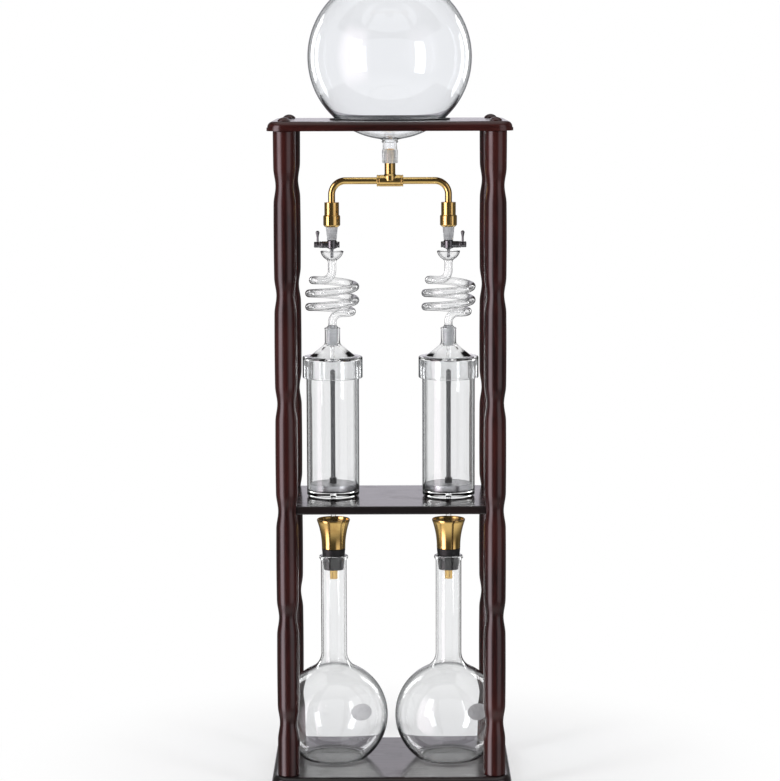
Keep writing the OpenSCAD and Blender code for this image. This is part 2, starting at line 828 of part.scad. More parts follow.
module valve_nut(side) {
    color(steel_grey)
    at_key(side)
    translate([-barrel_in - key_nut_w - rest_gap, 0, 0]) rotate([0, 90, 0])
        ring(key_nut_d, key_stub_d + 2 * fit_gap, key_nut_w);
}

// ---- glass spirals ----

// Heights in the spiral's own frame, whose zero is the top of the cap's neck
stem_top = spiral_rise - cup_h;
elbow_top = stem_top - stem_len;
elbow_steps = 6;
swing_steps = 9;
steps_per_turn = 20;
coil_steps = ceil(wound_turns * steps_per_turn);

// The elbow turns the tube from straight down to level, pointing left
function elbow_point(a) = [join_r * (cos(a) - 1), 0, elbow_top - join_r * sin(a)];

// The swing carries the tube from the elbow round into the coil
function swing_point(share) =
    let (a = -90 - share * join_turn)
    [
        join_r * cos(a) - (coil_r - join_r) * cos(join_angle),
        join_r * sin(a) + join_r,
        elbow_top - join_r - join_drop * share * share
    ];

// The coil winds down clockwise seen from above
function coil_point(share) =
    let (a = 180 - join_angle - 360 * wound_turns * share)
    [
        coil_r * cos(a), coil_r * sin(a),
        elbow_top - join_r - join_drop - coil_pitch * wound_turns * share
    ];

// The way out is the way in, turned half round about a level line through the middle of the coil
function turned_over(p) =
    let (a = -360 * coil_turns)
    [p[0] * cos(a) + p[1] * sin(a), p[0] * sin(a) - p[1] * cos(a), elbow_top + foot_len - p[2]];

way_in = concat(
    [[0, 0, stem_top]],
    [for (i = [0 : elbow_steps]) elbow_point(90 * i / elbow_steps)],
    [for (i = [0 : swing_steps - 1]) swing_point(i / swing_steps)]
);
spiral_route = concat(
    way_in,
    [for (i = [0 : coil_steps]) coil_point(i / coil_steps)],
    [for (i = [len(way_in) - 1 : -1 : 1]) turned_over(way_in[i])],
    [[0, 0, 0]]
);

// Direction of a route at each of its points
function route_direction(route, i) =
    let (last = len(route) - 1, d = route[min(i + 1, last)] - route[max(i - 1, 0)])
    d / norm(d);

// Sideways directions along a route, carried from point to point without twist
function side_directions(route, i = 0, before = [1, 0, 0]) =
    i >= len(route) ? [] :
    let (d = route_direction(route, i), s = before - (before * d) * d, here = s / norm(s))
    concat([here], side_directions(route, i + 1, here));

// Solid tube along a route
module tube_along(route, d, sides) {
    across = side_directions(route);
    last = len(route) - 1;
    points = [for (i = [0 : last])
        let (a = across[i], b = cross(route_direction(route, i), a))
        for (k = [0 : sides - 1])
            route[i] + d / 2 * (cos(360 * k / sides) * a + sin(360 * k / sides) * b)];
    walls = [for (i = [0 : last - 1]) for (k = [0 : sides - 1])
        let (n = (k + 1) % sides)
        each [
            [i * sides + n, i * sides + k, (i + 1) * sides + k],
            [(i + 1) * sides + n, i * sides + n, (i + 1) * sides + k]
        ]];
    start_cap = [for (k = [0 : sides - 1]) k];
    end_cap = [for (k = [sides - 1 : -1 : 0]) last * sides + k];
    polyhedron(points, concat(walls, [start_cap], [end_cap]));
}

// Half outline of the round drip cup, drawn smaller by the inset; its rim is at zero
module cup_outline(inset, top = 0) {
    intersection() {
        translate([0, cup_ball_r - cup_h]) circle(cup_ball_r - inset, $fn = 48);
        translate([0, -cup_h]) square([cup_d / 2, cup_h + top]);
    }
}

module drip_spiral(side) {
    bore_d = tube_d - 2 * tube_wall;
    joint_r = foot_taper_d / 2;
    joint_tip_r = joint_r - taper_rate * cap_neck_h;
    outer_sides = 12;
    bore_sides = 8;
    stub = 2;
    // How much wider the turned pieces are than the many-sided tube that runs into them
    lap = 0.6;
    color(clear_glass)
    at_stack(side) translate([0, 0, cap_top_z])
    difference() {
        union() {
            tube_along(spiral_route, tube_d, outer_sides);
            translate([0, 0, spiral_rise]) rotate_extrude() cup_outline(0);
            translate([0, 0, stem_top - stub]) cylinder(d = tube_d + lap, h = 2 * stub);
            translate([0, 0, -cap_neck_h])
                cylinder(r1 = joint_tip_r, r2 = joint_r, h = cap_neck_h);
            cylinder(r1 = joint_r, r2 = (tube_d + lap) / 2, h = stub);
            translate([0, 0, -cap_neck_h - tip_len]) cylinder(d = tube_d / 2, h = tip_len + over);
        }
        tube_along(spiral_route, bore_d, bore_sides);
        translate([0, 0, spiral_rise]) rotate_extrude() cup_outline(cup_wall, over);
        translate([0, 0, stem_top - over]) cylinder(d = bore_d + lap, h = stub + cup_wall);
        translate([0, 0, stub - cap_neck_h]) cylinder(d = bore_d + lap, h = cap_neck_h);
        translate([0, 0, -cap_neck_h - tip_len - over])
            cylinder(d = drip_bore, h = tip_len + stub + 2 * over);
    }
}

// ---- column caps and columns ----

module column_cap(side) {
    skirt_r = column_d / 2 + skirt_gap;
    neck_r = cap_neck_d / 2;
    joint_r = foot_taper_d / 2 + fit_gap;
    joint_tip_r = joint_r - taper_rate * cap_neck_h;
    neck_foot = cap_rise - cap_neck_h;
    cone_r = skirt_r + cap_wall - cap_shoulder;
    color(clear_glass)
    at_stack(side) translate([0, 0, rim_z])
    rotate_extrude()
    polygon([
        [skirt_r, -skirt_h], [skirt_r + cap_wall, -skirt_h], [skirt_r + cap_wall, cap_wall],
        [cone_r, cap_wall], [neck_r, neck_foot + cap_wall], [neck_r, cap_rise], [joint_r, cap_rise],
        [joint_tip_r, neck_foot], [cone_r - cap_wall / 2, 0], [skirt_r, 0]
    ]);
}

// Half outline of a column's solid outside, with its rounded foot at zero
module column_outside() {
    outer_r = column_d / 2;
    translate([0, column_round]) square([outer_r, column_h - column_round]);
    square([outer_r - column_round, column_round]);
    translate([outer_r - column_round, column_round]) circle(column_round);
}

module coffee_column(side) {
    inner_r = column_d / 2 - column_wall;
    outlet_r = outlet_d / 2;
    tip_r = outlet_bore / 2 + outlet_tip_wall;
    tip = outlet_tip_z + base_top - shelf_top;
    color(clear_glass)
    at_stack(side) translate([0, 0, shelf_top])
    difference() {
        union() {
            rotate_extrude() column_outside();
            translate([0, 0, -shelf_t]) cylinder(r = outlet_r, h = shelf_t + over);
            translate([0, 0, tip]) cylinder(r1 = tip_r, r2 = outlet_r, h = -shelf_t - tip);
        }
        translate([0, 0, column_floor]) cylinder(r = inner_r, h = column_h);
        translate([0, 0, tip - over]) cylinder(d = outlet_bore, h = column_floor - tip + 2 * over);
    }
}

// ---- filters ----

pan_z = shelf_top + column_floor;
mesh_z = pan_z + pan_h - mesh_t;

module filter_pan(side) {
    boss_d = hub_d;
    drain_rows = 3;
    row_gap = (pan_r - pan_wall - boss_d / 2) / drain_rows;
    color(steel_grey)
    at_stack(side) translate([0, 0, pan_z])
    difference() {
        union() {
            cylinder(r = pan_r, h = pan_wall);
            ring(2 * pan_r, 2 * (pan_r - pan_wall), pan_h);
            ring(2 * (pan_r - pan_wall / 2), 2 * (pan_r - pan_wall - mesh_ledge), pan_h - mesh_t);
            cylinder(d = boss_d, h = pan_h - mesh_t);
        }
        translate([0, 0, -over]) cylinder(d = filter_stud_d + 2 * fit_gap, h = pan_h + 2 * over);
        for (row = [1 : drain_rows - 1], k = [0 : 6 * row - 1])
            rotate(60 * k / row)
                translate([boss_d / 2 + row_gap * row - drain_d / 2, 0, -over])
                    cylinder(d = drain_d, h = pan_wall + 2 * over);
    }
}

module filter_mesh(side) {
    color(steel_grey)
    at_stack(side)
        ring(2 * (pan_r - pan_wall - fit_gap), filter_stud_d + 2 * fit_gap, mesh_t, mesh_z);
}

module filter_hub(side) {
    color(steel_grey)
    at_stack(side) ring(hub_d, filter_rod_d + 2 * fit_gap, hub_h, mesh_z + mesh_t);
}

module filter_rod(side) {
    color(steel_grey)
    at_stack(side) {
        translate([0, 0, pan_z + pan_wall]) cylinder(d = filter_stud_d, h = pan_h - pan_wall);
        translate([0, 0, mesh_z + mesh_t]) cylinder(d = filter_rod_d, h = filter_rod_len - grip_len + over);
        translate([0, 0, mesh_z + mesh_t + filter_rod_len - grip_len])
            cylinder(d = grip_d, h = grip_len - grip_d / 2);
        translate([0, 0, mesh_z + mesh_t + filter_rod_len - grip_d / 2]) sphere(d = grip_d);
    }
}

// ---- funnels and flasks ----

module funnel(side) {
    rim_r = funnel_d / 2;
    flare = rim_r - stopper_top_r;
    flare_h = funnel_h - 2 * funnel_band;
    flare_r = (flare * flare + flare_h * flare_h) / (2 * flare);
    stem_len = stopper_up + stopper_in + stem_below;
    color(polished_brass)
    at_stack(side) translate([0, 0, base_top + funnel_z])
    rotate_extrude()
    difference() {
        union() {
            difference() {
                square([rim_r, funnel_h]);
                intersection() {
                    translate([stopper_top_r + flare_r, funnel_band]) circle(flare_r, $fn = 180);
                    translate([stopper_top_r, funnel_band]) square([flare + over, flare_h]);
                }
                translate([stopper_top_r, -over]) square([flare + over, funnel_band + over]);
            }
            translate([0, -stem_len]) square([stem_d / 2, stem_len + over]);
        }
        polygon([
            [0, funnel_h + over], [rim_r - funnel_wall, funnel_h + over], [rim_r - funnel_wall, funnel_h - funnel_band / 2],
            [stopper_top_r - 2 * funnel_wall, funnel_h / 2], [stem_bore / 2, stem_bore], [0, stem_bore]
        ]);
        translate([0, -stem_len - over]) square([stem_bore / 2, stem_len + stem_bore + 2 * over]);
    }
}

module flask_stopper(side) {
    stopper_h = stopper_up + stopper_in;
    stem_r = stem_d / 2 + fit_gap;
    color(black_rubber)
    at_stack(side) translate([0, 0, base_top + lip_z - stopper_in])
    rotate_extrude()
    polygon([
        [stem_r, 0], [stopper_top_r - stopper_rate * stopper_h, 0],
        [stopper_top_r, stopper_h], [stem_r, stopper_h]
    ]);
}

// Half outline of a flask, drawn smaller by the inset; it stands on zero
module flask_outline(inset) {
    bulb_r = bulb_d / 2 - inset;
    neck_r = flask_neck_d / 2 - inset;
    sweep_r = flask_sweep + inset;
    sweep_x = neck_r + sweep_r;
    sweep_z = bulb_z + sqrt(pow(bulb_r + sweep_r, 2) - sweep_x * sweep_x);
    share = bulb_r / (bulb_r + sweep_r);
    intersection() {
        translate([0, bulb_z]) circle(bulb_r, $fn = 144);
        translate([0, inset]) square([bulb_r, 2 * bulb_r]);
    }
    difference() {
        polygon([
            [0, bulb_z], [share * sweep_x, bulb_z + share * (sweep_z - bulb_z)],
            [sweep_x, sweep_z], [0, sweep_z]
        ]);
        translate([sweep_x, sweep_z]) circle(sweep_r);
    }
    translate([0, sweep_z]) square([neck_r, flask_h - sweep_z + inset]);
}

module flask(side) {
    lip_r = lip_d / 2;
    bead_r = lip_r - flask_neck_d / 2;
    color(clear_glass)
    at_stack(side) translate([0, 0, base_top + flask_z])
    rotate_extrude($fn = 144)
    difference() {
        union() {
            flask_outline(0);
            translate([0, flask_h - lip_h]) square([lip_r - bead_r / 2, lip_h]);
            translate([lip_r - bead_r / 2, flask_h - bead_r / 2]) circle(bead_r / 2);
            translate([lip_r - bead_r / 2, flask_h - lip_h + bead_r / 2]) circle(bead_r / 2);
            translate([lip_r - bead_r, flask_h - lip_h + bead_r / 2]) square([bead_r, lip_h - bead_r]);
        }
        flask_outline(flask_wall);
    }
}

base_board();
base_pads();
post(left, front);  // post_front_left
post(right, front);  // post_front_right
post(left, back);  // post_back_left
post(right, back);  // post_back_right
middle_shelf();
shelf_dowels();
top_board();
tie_rods();
rod_washers();
rod_nuts_top();
rod_nuts_bottom();
post_buttons();
globe_seat_ring();
water_globe();
globe_lid();
manifold_tee();
manifold_arm(left);  // manifold_arm_left
manifold_arm(right);  // manifold_arm_right
arm_sleeve(left);  // arm_sleeve_left
arm_sleeve(right);  // arm_sleeve_right
valve_cone(left);  // valve_cone_left
valve_cone(right);  // valve_cone_right
valve_body(left);  // valve_body_left
valve_body(right);  // valve_body_right
valve_key(left);  // valve_key_left
valve_key(right);  // valve_key_right
valve_lever(left);  // valve_lever_left
valve_lever(right);  // valve_lever_right
valve_nut(left);  // valve_nut_left
valve_nut(right);  // valve_nut_right
drip_spiral(left);  // drip_spiral_left
drip_spiral(right);  // drip_spiral_right
column_cap(left);  // column_cap_left
column_cap(right);  // column_cap_right
coffee_column(left);  // coffee_column_left
coffee_column(right);  // coffee_column_right
filter_pan(left);  // filter_pan_left
filter_pan(right);  // filter_pan_right
filter_mesh(left);  // filter_mesh_left
filter_mesh(right);  // filter_mesh_right
filter_hub(left);  // filter_hub_left
filter_hub(right);  // filter_hub_right
filter_rod(left);  // filter_rod_left
filter_rod(right);  // filter_rod_right
funnel(left);  // funnel_left
funnel(right);  // funnel_right
flask_stopper(left);  // flask_stopper_left
flask_stopper(right);  // flask_stopper_right
flask(left);  // flask_left
flask(right);  // flask_right
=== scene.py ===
import bpy
from math import acos, asin, atan2, ceil, cos, degrees, hypot, pi, radians, sin, sqrt
from mathutils import Matrix, Vector


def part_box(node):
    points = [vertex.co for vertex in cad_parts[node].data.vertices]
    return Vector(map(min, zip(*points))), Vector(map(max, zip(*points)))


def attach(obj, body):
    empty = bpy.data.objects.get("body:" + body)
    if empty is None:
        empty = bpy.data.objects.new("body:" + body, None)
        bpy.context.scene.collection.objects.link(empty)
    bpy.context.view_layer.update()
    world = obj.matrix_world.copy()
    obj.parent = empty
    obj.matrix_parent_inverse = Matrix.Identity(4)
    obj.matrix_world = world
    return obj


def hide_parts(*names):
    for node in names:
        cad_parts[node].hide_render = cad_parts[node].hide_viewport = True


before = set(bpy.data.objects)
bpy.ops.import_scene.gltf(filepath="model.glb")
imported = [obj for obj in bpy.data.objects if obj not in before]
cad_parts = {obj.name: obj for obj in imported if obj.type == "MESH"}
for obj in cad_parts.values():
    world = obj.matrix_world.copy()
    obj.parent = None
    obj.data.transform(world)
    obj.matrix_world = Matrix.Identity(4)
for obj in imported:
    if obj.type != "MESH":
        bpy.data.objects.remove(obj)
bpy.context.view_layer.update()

sides = {"left": -1, "right": 1}


# shader arithmetic

class Wire:
    # an output socket that takes part in arithmetic; every expression adds its Math nodes
    def __init__(self, finish, socket):
        self.finish, self.socket = finish, socket

    def __add__(self, other): return self.finish.maths("ADD", self, other)
    def __radd__(self, other): return self.finish.maths("ADD", other, self)
    def __sub__(self, other): return self.finish.maths("SUBTRACT", self, other)
    def __rsub__(self, other): return self.finish.maths("SUBTRACT", other, self)
    def __mul__(self, other): return self.finish.maths("MULTIPLY", self, other)
    def __rmul__(self, other): return self.finish.maths("MULTIPLY", other, self)


class Finish:
    # one material and the few moves that build its nodes
    def __init__(self, name, tree=None):
        if tree is None:
            self.material = bpy.data.materials.new(name)
            self.material.use_nodes = True
            tree = self.material.node_tree
        self.tree = tree
        self.tree.nodes.clear()

    def put(self, node, key, value):
        socket = node.inputs[key]
        if isinstance(value, Wire):
            self.tree.links.new(value.socket, socket)
        else:
            socket.default_value = value

    def node(self, kind, settings=None, values=None, out=0):
        node = self.tree.nodes.new("ShaderNode" + kind)
        node.location = (len(self.tree.nodes) % 9 * 190, -(len(self.tree.nodes) // 9) * 260)
        for key, value in (settings or {}).items():
            setattr(node, key, value)
        for key, value in (values or {}).items():
            self.put(node, key, value)
        return Wire(self, node.outputs[out]) if node.outputs else node

    def maths(self, operation, a, b, clamp=False):
        return self.node("Math", {"operation": operation, "use_clamp": clamp}, {0: a, 1: b})

    def clamped(self, value):
        return self.maths("ADD", value, 0, clamp=True)

    def smooth(self, value, low, high):
        return self.node("MapRange", {"interpolation_type": "SMOOTHSTEP"},
                         {"Value": value, "From Min": low, "From Max": high})

    def blend(self, share, a, b, way="MIX"):
        a = (*a, 1) if isinstance(a, tuple) else a
        b = (*b, 1) if isinstance(b, tuple) else b
        return self.node("Mix", {"data_type": "RGBA", "blend_type": way}, {0: share, 6: a, 7: b}, out=2)

    def place(self, scale=(1, 1, 1), shift=(0, 0, 0)):
        here = self.node("TexCoord", out=3)  # object coordinates
        return self.node("Mapping", {}, {"Vector": here, "Scale": scale, "Location": shift})

    def noise(self, where, scale, detail=3.0, rough=0.5, warp=0.0):
        return self.node("TexNoise", {}, {"Vector": where, "Scale": scale, "Detail": detail,
                                          "Roughness": rough, "Distortion": warp})

    def bump(self, height, strength, depth, normal=None):
        values = {"Height": height, "Strength": strength, "Distance": depth}
        if normal is not None:
            values["Normal"] = normal
        return self.node("Bump", {}, values)

    def shader(self, **values):
        return self.node("BsdfPrincipled", {}, {k.replace("_", " "): v for k, v in values.items()})

    def done(self, surface):
        self.node("OutputMaterial", {}, {"Surface": surface})
        return self.material


# finishes

woodLook = {"deep": (0.009, 0.0012, 0.0010), "body": (0.029, 0.0034, 0.0028), "warm": (0.060, 0.0090, 0.0062),
            "black": (0.0085, 0.0055, 0.0058), "blackWarm": (0.022, 0.0085, 0.0075)}


def lacqueredWood(name, along, deep, body, warm, gloss, sheen):
    # close-grained hardwood under lacquer: the grain is stretched along one axis
    f = Finish(name)
    squeeze = {"x": (1.4, 22, 22), "y": (22, 1.4, 22), "z": (22, 22, 1.4)}[along]
    streaks = f.noise(f.place(squeeze), 9.0, 6.0, 0.62, 0.6)
    pores = f.noise(f.place(tuple(4.0 * s for s in squeeze)), 11.0, 2.0, 0.6)
    clouds = f.noise(f.place((1, 1, 1)), 7.0, 2.0)
    grain = f.smooth(streaks, 0.33, 0.68)
    tone = f.blend(grain, deep, body)
    tone = f.blend(f.smooth(clouds, 0.42, 0.72) * 0.55, tone, warm)
    tone = f.blend(f.smooth(pores, 0.58, 0.72) * 0.45, tone, tuple(0.4 * c for c in deep))
    smudges = f.noise(f.place((1, 1, 1), shift=(3, 1, 2)), 26.0, 4.0, 0.6)
    rub = f.smooth(smudges, 0.5, 0.75)
    ripple = f.noise(f.place(tuple(0.35 * s for s in squeeze)), 6.0, 2.0)
    relief = f.bump(ripple, 0.25, 0.0006, f.bump(pores, 0.10, 0.0002))
    return f.done(f.shader(Base_Color=tone, Roughness=0.34 + rub * 0.10 + grain * 0.05, Normal=relief,
                           Coat_Weight=sheen + rub * -0.12, Coat_Roughness=gloss, Coat_IOR=1.5,
                           Specular_IOR_Level=0.20))


def clearGlass(name, tint, edge, start, end, roughness=0.0):
    # borosilicate glass: clear face on; the dark rims where the wall is looked along are painted shade in the
    # base colour, standing in for the dark surroundings seen at the rims, together with the longer path through
    # the wall
    f = Finish(name)
    facing = f.node("LayerWeight", {}, {"Blend": 0.5}, out=1)
    wash = f.noise(f.place((1, 1, 1)), 14.0, 2.0)
    # painted rim shade: the base colour runs from the tint to the edge colour as the wall turns away from the
    # eye
    shade = f.smooth(facing, start, end)
    colour = f.blend(shade, f.blend(wash, tint, tuple(min(1, 1.012 * c) for c in tint)), edge)
    draw = f.noise(f.place((1, 1, 0.25)), 18.0, 1.0)
    glass = f.shader(Base_Color=colour, Roughness=roughness, Transmission_Weight=1.0, IOR=1.47,
                     Normal=f.bump(draw, 0.06, 0.0008))
    open_ = f.node("BsdfTransparent", {}, {"Color": (0.90, 0.91, 0.92, 1)})
    lamps = f.node("LightPath", out=1)
    return f.done(f.node("MixShader", {}, {0: lamps, 1: glass, 2: open_}))


def groundGlass(name):
    # ground joint: fine even frost with a faint lavender cast
    f = Finish(name)
    frost = f.noise(f.place((1, 1, 1)), 900.0, 2.0)
    bands = f.noise(f.place((2, 2, 60)), 12.0, 2.0)
    colour = f.blend(f.smooth(bands, 0.3, 0.7), (0.52, 0.53, 0.55), (0.68, 0.69, 0.71))
    return f.done(f.shader(Base_Color=colour, Roughness=0.42 + frost * 0.2, Transmission_Weight=0.45, IOR=1.45,
                           Normal=f.bump(frost, 0.35, 0.0003)))


def metal(name, colour, tarnish, roughness, brushed, along):
    # polished or brushed metal: fine marks along one axis, cloudier where it has been handled
    f = Finish(name)
    squeeze = {"x": (2, 90, 90), "z": (90, 90, 2), "round": (8, 8, 160)}[along]
    marks = f.noise(f.place(squeeze), 9.0, 3.0, 0.7)
    haze = f.noise(f.place((1, 1, 1)), 38.0, 4.0, 0.62)
    cloud = f.smooth(haze, 0.48, 0.78)
    tone = f.blend(cloud * 0.6, colour, tarnish)
    return f.done(f.shader(Base_Color=tone, Metallic=1.0, Roughness=roughness + marks * brushed + cloud * 0.08,
                           Normal=f.bump(marks, 0.10 + brushed * 0.6, 0.0002)))


def softRubber(name, colour):
    f = Finish(name)
    speck = f.noise(f.place((1, 1, 1)), 420.0, 3.0, 0.6)
    dust = f.noise(f.place((1, 1, 1)), 45.0, 4.0)
    tone = f.blend(f.smooth(dust, 0.5, 0.8) * 0.35, colour, tuple(2.6 * c + 0.01 for c in colour))
    return f.done(f.shader(Base_Color=tone, Roughness=0.42 + dust * 0.2, Specular_IOR_Level=0.45,
                           Normal=f.bump(speck, 0.25, 0.0003)))


def wovenSteel(name):
    # plain weave seen from above: two sets of wires at right angles; the open gaps between them are painted
    # shade in the base colour
    f = Finish(name)
    where = f.place((1, 1, 1))
    split = f.tree.nodes.new("ShaderNodeSeparateXYZ")
    f.put(split, "Vector", where)
    x, y = Wire(f, split.outputs[0]), Wire(f, split.outputs[1])
    pitch = 0.0011
    wireX = f.maths("ABSOLUTE", f.maths("SINE", x * (pi / pitch), 0), 0)
    wireY = f.maths("ABSOLUTE", f.maths("SINE", y * (pi / pitch), 0), 0)
    weave = f.maths("MAXIMUM", wireX, wireY)
    wiresOverPaintedGaps = f.smooth(weave, 0.45, 0.8)
    haze = f.noise(where, 60.0, 3.0)
    # painted shade: near black between the wires stands for the open holes of the weave
    tone = f.blend(wiresOverPaintedGaps, (0.035, 0.035, 0.04), (0.50, 0.50, 0.52))
    tone = f.blend(haze * 0.3, tone, (0.25, 0.24, 0.23))
    return f.done(f.shader(Base_Color=tone, Metallic=0.85, Roughness=0.55 - wiresOverPaintedGaps * 0.22,
                           Normal=f.bump(weave, 0.8, 0.0004)))


def enamel(name):
    f = Finish(name)
    chalk = f.noise(f.place((1, 1, 1)), 700.0, 3.0)
    wear = f.noise(f.place((1, 1, 1)), 120.0, 3.0)
    tone = f.blend(f.smooth(wear, 0.4, 0.8), (0.64, 0.64, 0.66), (0.54, 0.54, 0.56))
    return f.done(f.shader(Base_Color=tone, Roughness=0.6 + chalk * 0.2, Normal=f.bump(chalk, 0.2, 0.0001)))


finishes = {
    "post": lacqueredWood("mahoganyPost", "z", woodLook["deep"], woodLook["body"], woodLook["warm"], 0.12,
                          0.85),
    "edge": lacqueredWood("mahoganyBoard", "x", woodLook["deep"], woodLook["body"], woodLook["warm"], 0.12,
                          0.85),
    "board": lacqueredWood("darkBoard", "x", (0.006, 0.004, 0.0045), woodLook["black"], woodLook["blackWarm"],
                           0.17, 1.0),
    # each glass: its tint, the colour of its painted rim shade, and the facing values where that painted shade
    # starts and is full
    "glass": clearGlass("clearGlass", (0.928, 0.932, 0.936), (0.05, 0.055, 0.06), 0.54, 0.84),
    "globeGlass": clearGlass("globeGlass", (0.924, 0.932, 0.948), (0.04, 0.05, 0.06), 0.68, 0.88),
    "tubeGlass": clearGlass("columnGlass", (0.912, 0.916, 0.920), (0.04, 0.045, 0.05), 0.42, 0.74),
    "capGlass": clearGlass("capGlass", (0.925, 0.929, 0.933), (0.16, 0.165, 0.17), 0.90, 0.99),
    "thickGlass": clearGlass("coilGlass", (0.950, 0.952, 0.955), (0.04, 0.04, 0.045), 0.34, 0.78),
    "frosted": groundGlass("groundJoint"),
    "brass": metal("polishedBrass", (0.80, 0.54, 0.19), (0.50, 0.29, 0.09), 0.13, 0.06, "round"),
    "valve": metal("darkChrome", (0.20, 0.20, 0.21), (0.12, 0.12, 0.125), 0.30, 0.08, "round"),
    "steel": metal("brushedSteel", (0.46, 0.46, 0.48), (0.30, 0.30, 0.31), 0.26, 0.16, "round"),
    "rod": metal("steelRod", (0.12, 0.12, 0.125), (0.07, 0.07, 0.075), 0.28, 0.10, "z"),
    "rubber": softRubber("blackSilicone", (0.010, 0.010, 0.011)),
    "weave": wovenSteel("wovenMesh"),
    "enamel": enamel("writingPatch"),
}
print("finishes made:", len(finishes))


# modelling helpers

def arc(centre, radius, start, end, steps):
    # points of an arc in the (radius, height) plane, angles in degrees
    return [(centre[0] + radius * cos(radians(start + (end - start) * i / steps)),
             centre[1] + radius * sin(radians(start + (end - start) * i / steps))) for i in range(steps + 1)]


def softened(outline, size, steps=3, closed=False):
    # the outline with each sharp corner cut by a small round of about the given size
    out, count = [], len(outline)
    for i, point in enumerate(outline):
        if not closed and i in (0, count - 1):
            out.append(point)
            continue
        here = Vector(point)
        before, after = Vector(outline[i - 1]) - here, Vector(outline[(i + 1) % count]) - here
        bend = before.angle(after) if before.length and after.length else pi
        if pi - bend < radians(12):
            out.append(point)
            continue
        reach = min(size, 0.45 * before.length, 0.45 * after.length)
        a, b = here + before.normalized() * reach, here + after.normalized() * reach
        out += [tuple(a * (1 - t) ** 2 + here * 2 * t * (1 - t) + b * t * t) for t in
                (k / steps for k in range(steps + 1))]
    return out


def deselect():
    if bpy.context.mode != "OBJECT":
        bpy.ops.object.mode_set(mode="OBJECT")
    bpy.ops.object.select_all(action="DESELECT")


def settle(piece, name, finish, body, replaced=(), angle=38):
    # name, finish and body of a finished piece whose place is in its mesh
    piece.name = piece.data.name = name
    if finish:
        piece.data.materials.clear()
        piece.data.materials.append(finishes[finish])
    bpy.ops.object.shade_smooth_by_angle(angle=radians(angle))
    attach(piece, body)
    if replaced:
        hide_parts(*replaced)
    return piece


def turned(outline, spot, axis="z", steps=64, closed=False):
    # a half outline of (radius, height) in mm, drawn vertex by vertex and spun about its axis
    way = {"z": Vector((0, 0, 1)), "x": Vector((1, 0, 0)), "-x": Vector((-1, 0, 0))}[axis]
    out = Vector((1, 0, 0)) if axis == "z" else Vector((0, 0, 1))
    points = [(Vector(spot) + out * r + way * h) / 1000 for r, h in outline]
    deselect()
    bpy.ops.mesh.primitive_plane_add(size=0.001, location=points[0])
    piece = bpy.context.object
    bpy.ops.object.transform_apply(location=True, rotation=True, scale=True)
    bpy.ops.object.mode_set(mode="EDIT")
    bpy.ops.mesh.select_all(action="SELECT")
    bpy.ops.mesh.merge(type="CENTER")
    for a, b in zip(points, points[1:]):
        bpy.ops.mesh.extrude_vertices_move(TRANSFORM_OT_translate={"value": b - a})
    if closed:
        bpy.ops.object.mode_set(mode="OBJECT")
        last = len(piece.data.vertices) - 1
        for v in piece.data.vertices:
            v.select = v.index in (0, last)
        bpy.ops.object.mode_set(mode="EDIT")
        bpy.ops.mesh.edge_face_add()
    bpy.ops.mesh.select_all(action="SELECT")
    bpy.ops.mesh.spin(steps=steps, angle=2 * pi, center=Vector(spot) / 1000, axis=way)
    bpy.ops.mesh.select_all(action="SELECT")
    bpy.ops.mesh.remove_doubles(threshold=0.000002)
    bpy.ops.mesh.normals_make_consistent(inside=False)
    bpy.ops.object.mode_set(mode="OBJECT")
    return piece


def swept(points, radius, capped=True, smoothness=5):
    # a round bar along a route in mm
    deselect()
    bpy.ops.curve.primitive_nurbs_path_add(location=(0, 0, 0))
    route = bpy.context.object
    route.data.splines.clear()
    line = route.data.splines.new("POLY")
    line.points.add(len(points) - 1)
    for knot, place in zip(line.points, points):
        knot.co = (*(Vector(place) / 1000), 1)
    route.data.twist_mode = "MINIMUM"
    route.data.bevel_depth = radius / 1000
    route.data.bevel_resolution = smoothness
    route.data.use_fill_caps = capped
    bpy.ops.object.convert(target="MESH")
    piece = bpy.context.object
    bpy.ops.object.mode_set(mode="EDIT")
    bpy.ops.mesh.select_all(action="SELECT")
    bpy.ops.mesh.remove_doubles(threshold=0.000002)
    bpy.ops.mesh.normals_make_consistent(inside=False)
    bpy.ops.object.mode_set(mode="OBJECT")
    return piece


def joined(pieces):
    deselect()
    for piece in pieces:
        piece.select_set(True)
    bpy.context.view_layer.objects.active = pieces[0]
    bpy.ops.object.join()
    return bpy.context.object


def copied(piece, shift):
    # a copy with its own mesh, moved and with its place put into the mesh
    deselect()
    piece.select_set(True)
    bpy.context.view_layer.objects.active = piece
    bpy.ops.object.duplicate(linked=False)
    twin = bpy.context.object
    bpy.ops.transform.translate(value=Vector(shift) / 1000)
    bpy.ops.object.transform_apply(location=True, rotation=True, scale=True)
    return twin


def bottomOf(node):
    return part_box(node)[0].z * 1000


def centreOf(node):
    low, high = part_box(node)
    return (low.x + high.x) * 500, (low.y + high.y) * 500


# wooden frame
postLook = {"widest": 14.25, "waist": 11.3, "barrelCut": 0.6, "waistHalf": 23.0, "modules": 6, "stops": 40,
            "endRound": 0.9, "segments": 64}


def postOutline(height):
    module, points = height / postLook["modules"], []
    dip = postLook["widest"] - postLook["waist"] - postLook["barrelCut"]
    count = postLook["modules"] * postLook["stops"]
    for i in range(count + 1):
        z = height * i / count
        away = abs(z % module - module / 2)
        cut = dip * (1 + cos(pi * away / postLook["waistHalf"])) / 2 if away < postLook["waistHalf"] else 0
        points.append((postLook["widest"] - postLook["barrelCut"] * (1 - 2 * away / module) ** 2 - cut, z))
    rounded = postLook["endRound"]
    points[0] = (points[0][0] - rounded, 0)
    points.insert(1, (points[1][0], rounded))
    points[-1] = (points[-1][0] - rounded, height)
    points.insert(-1, (points[-2][0], height - rounded))
    return [(0, 0)] + points + [(0, height)]


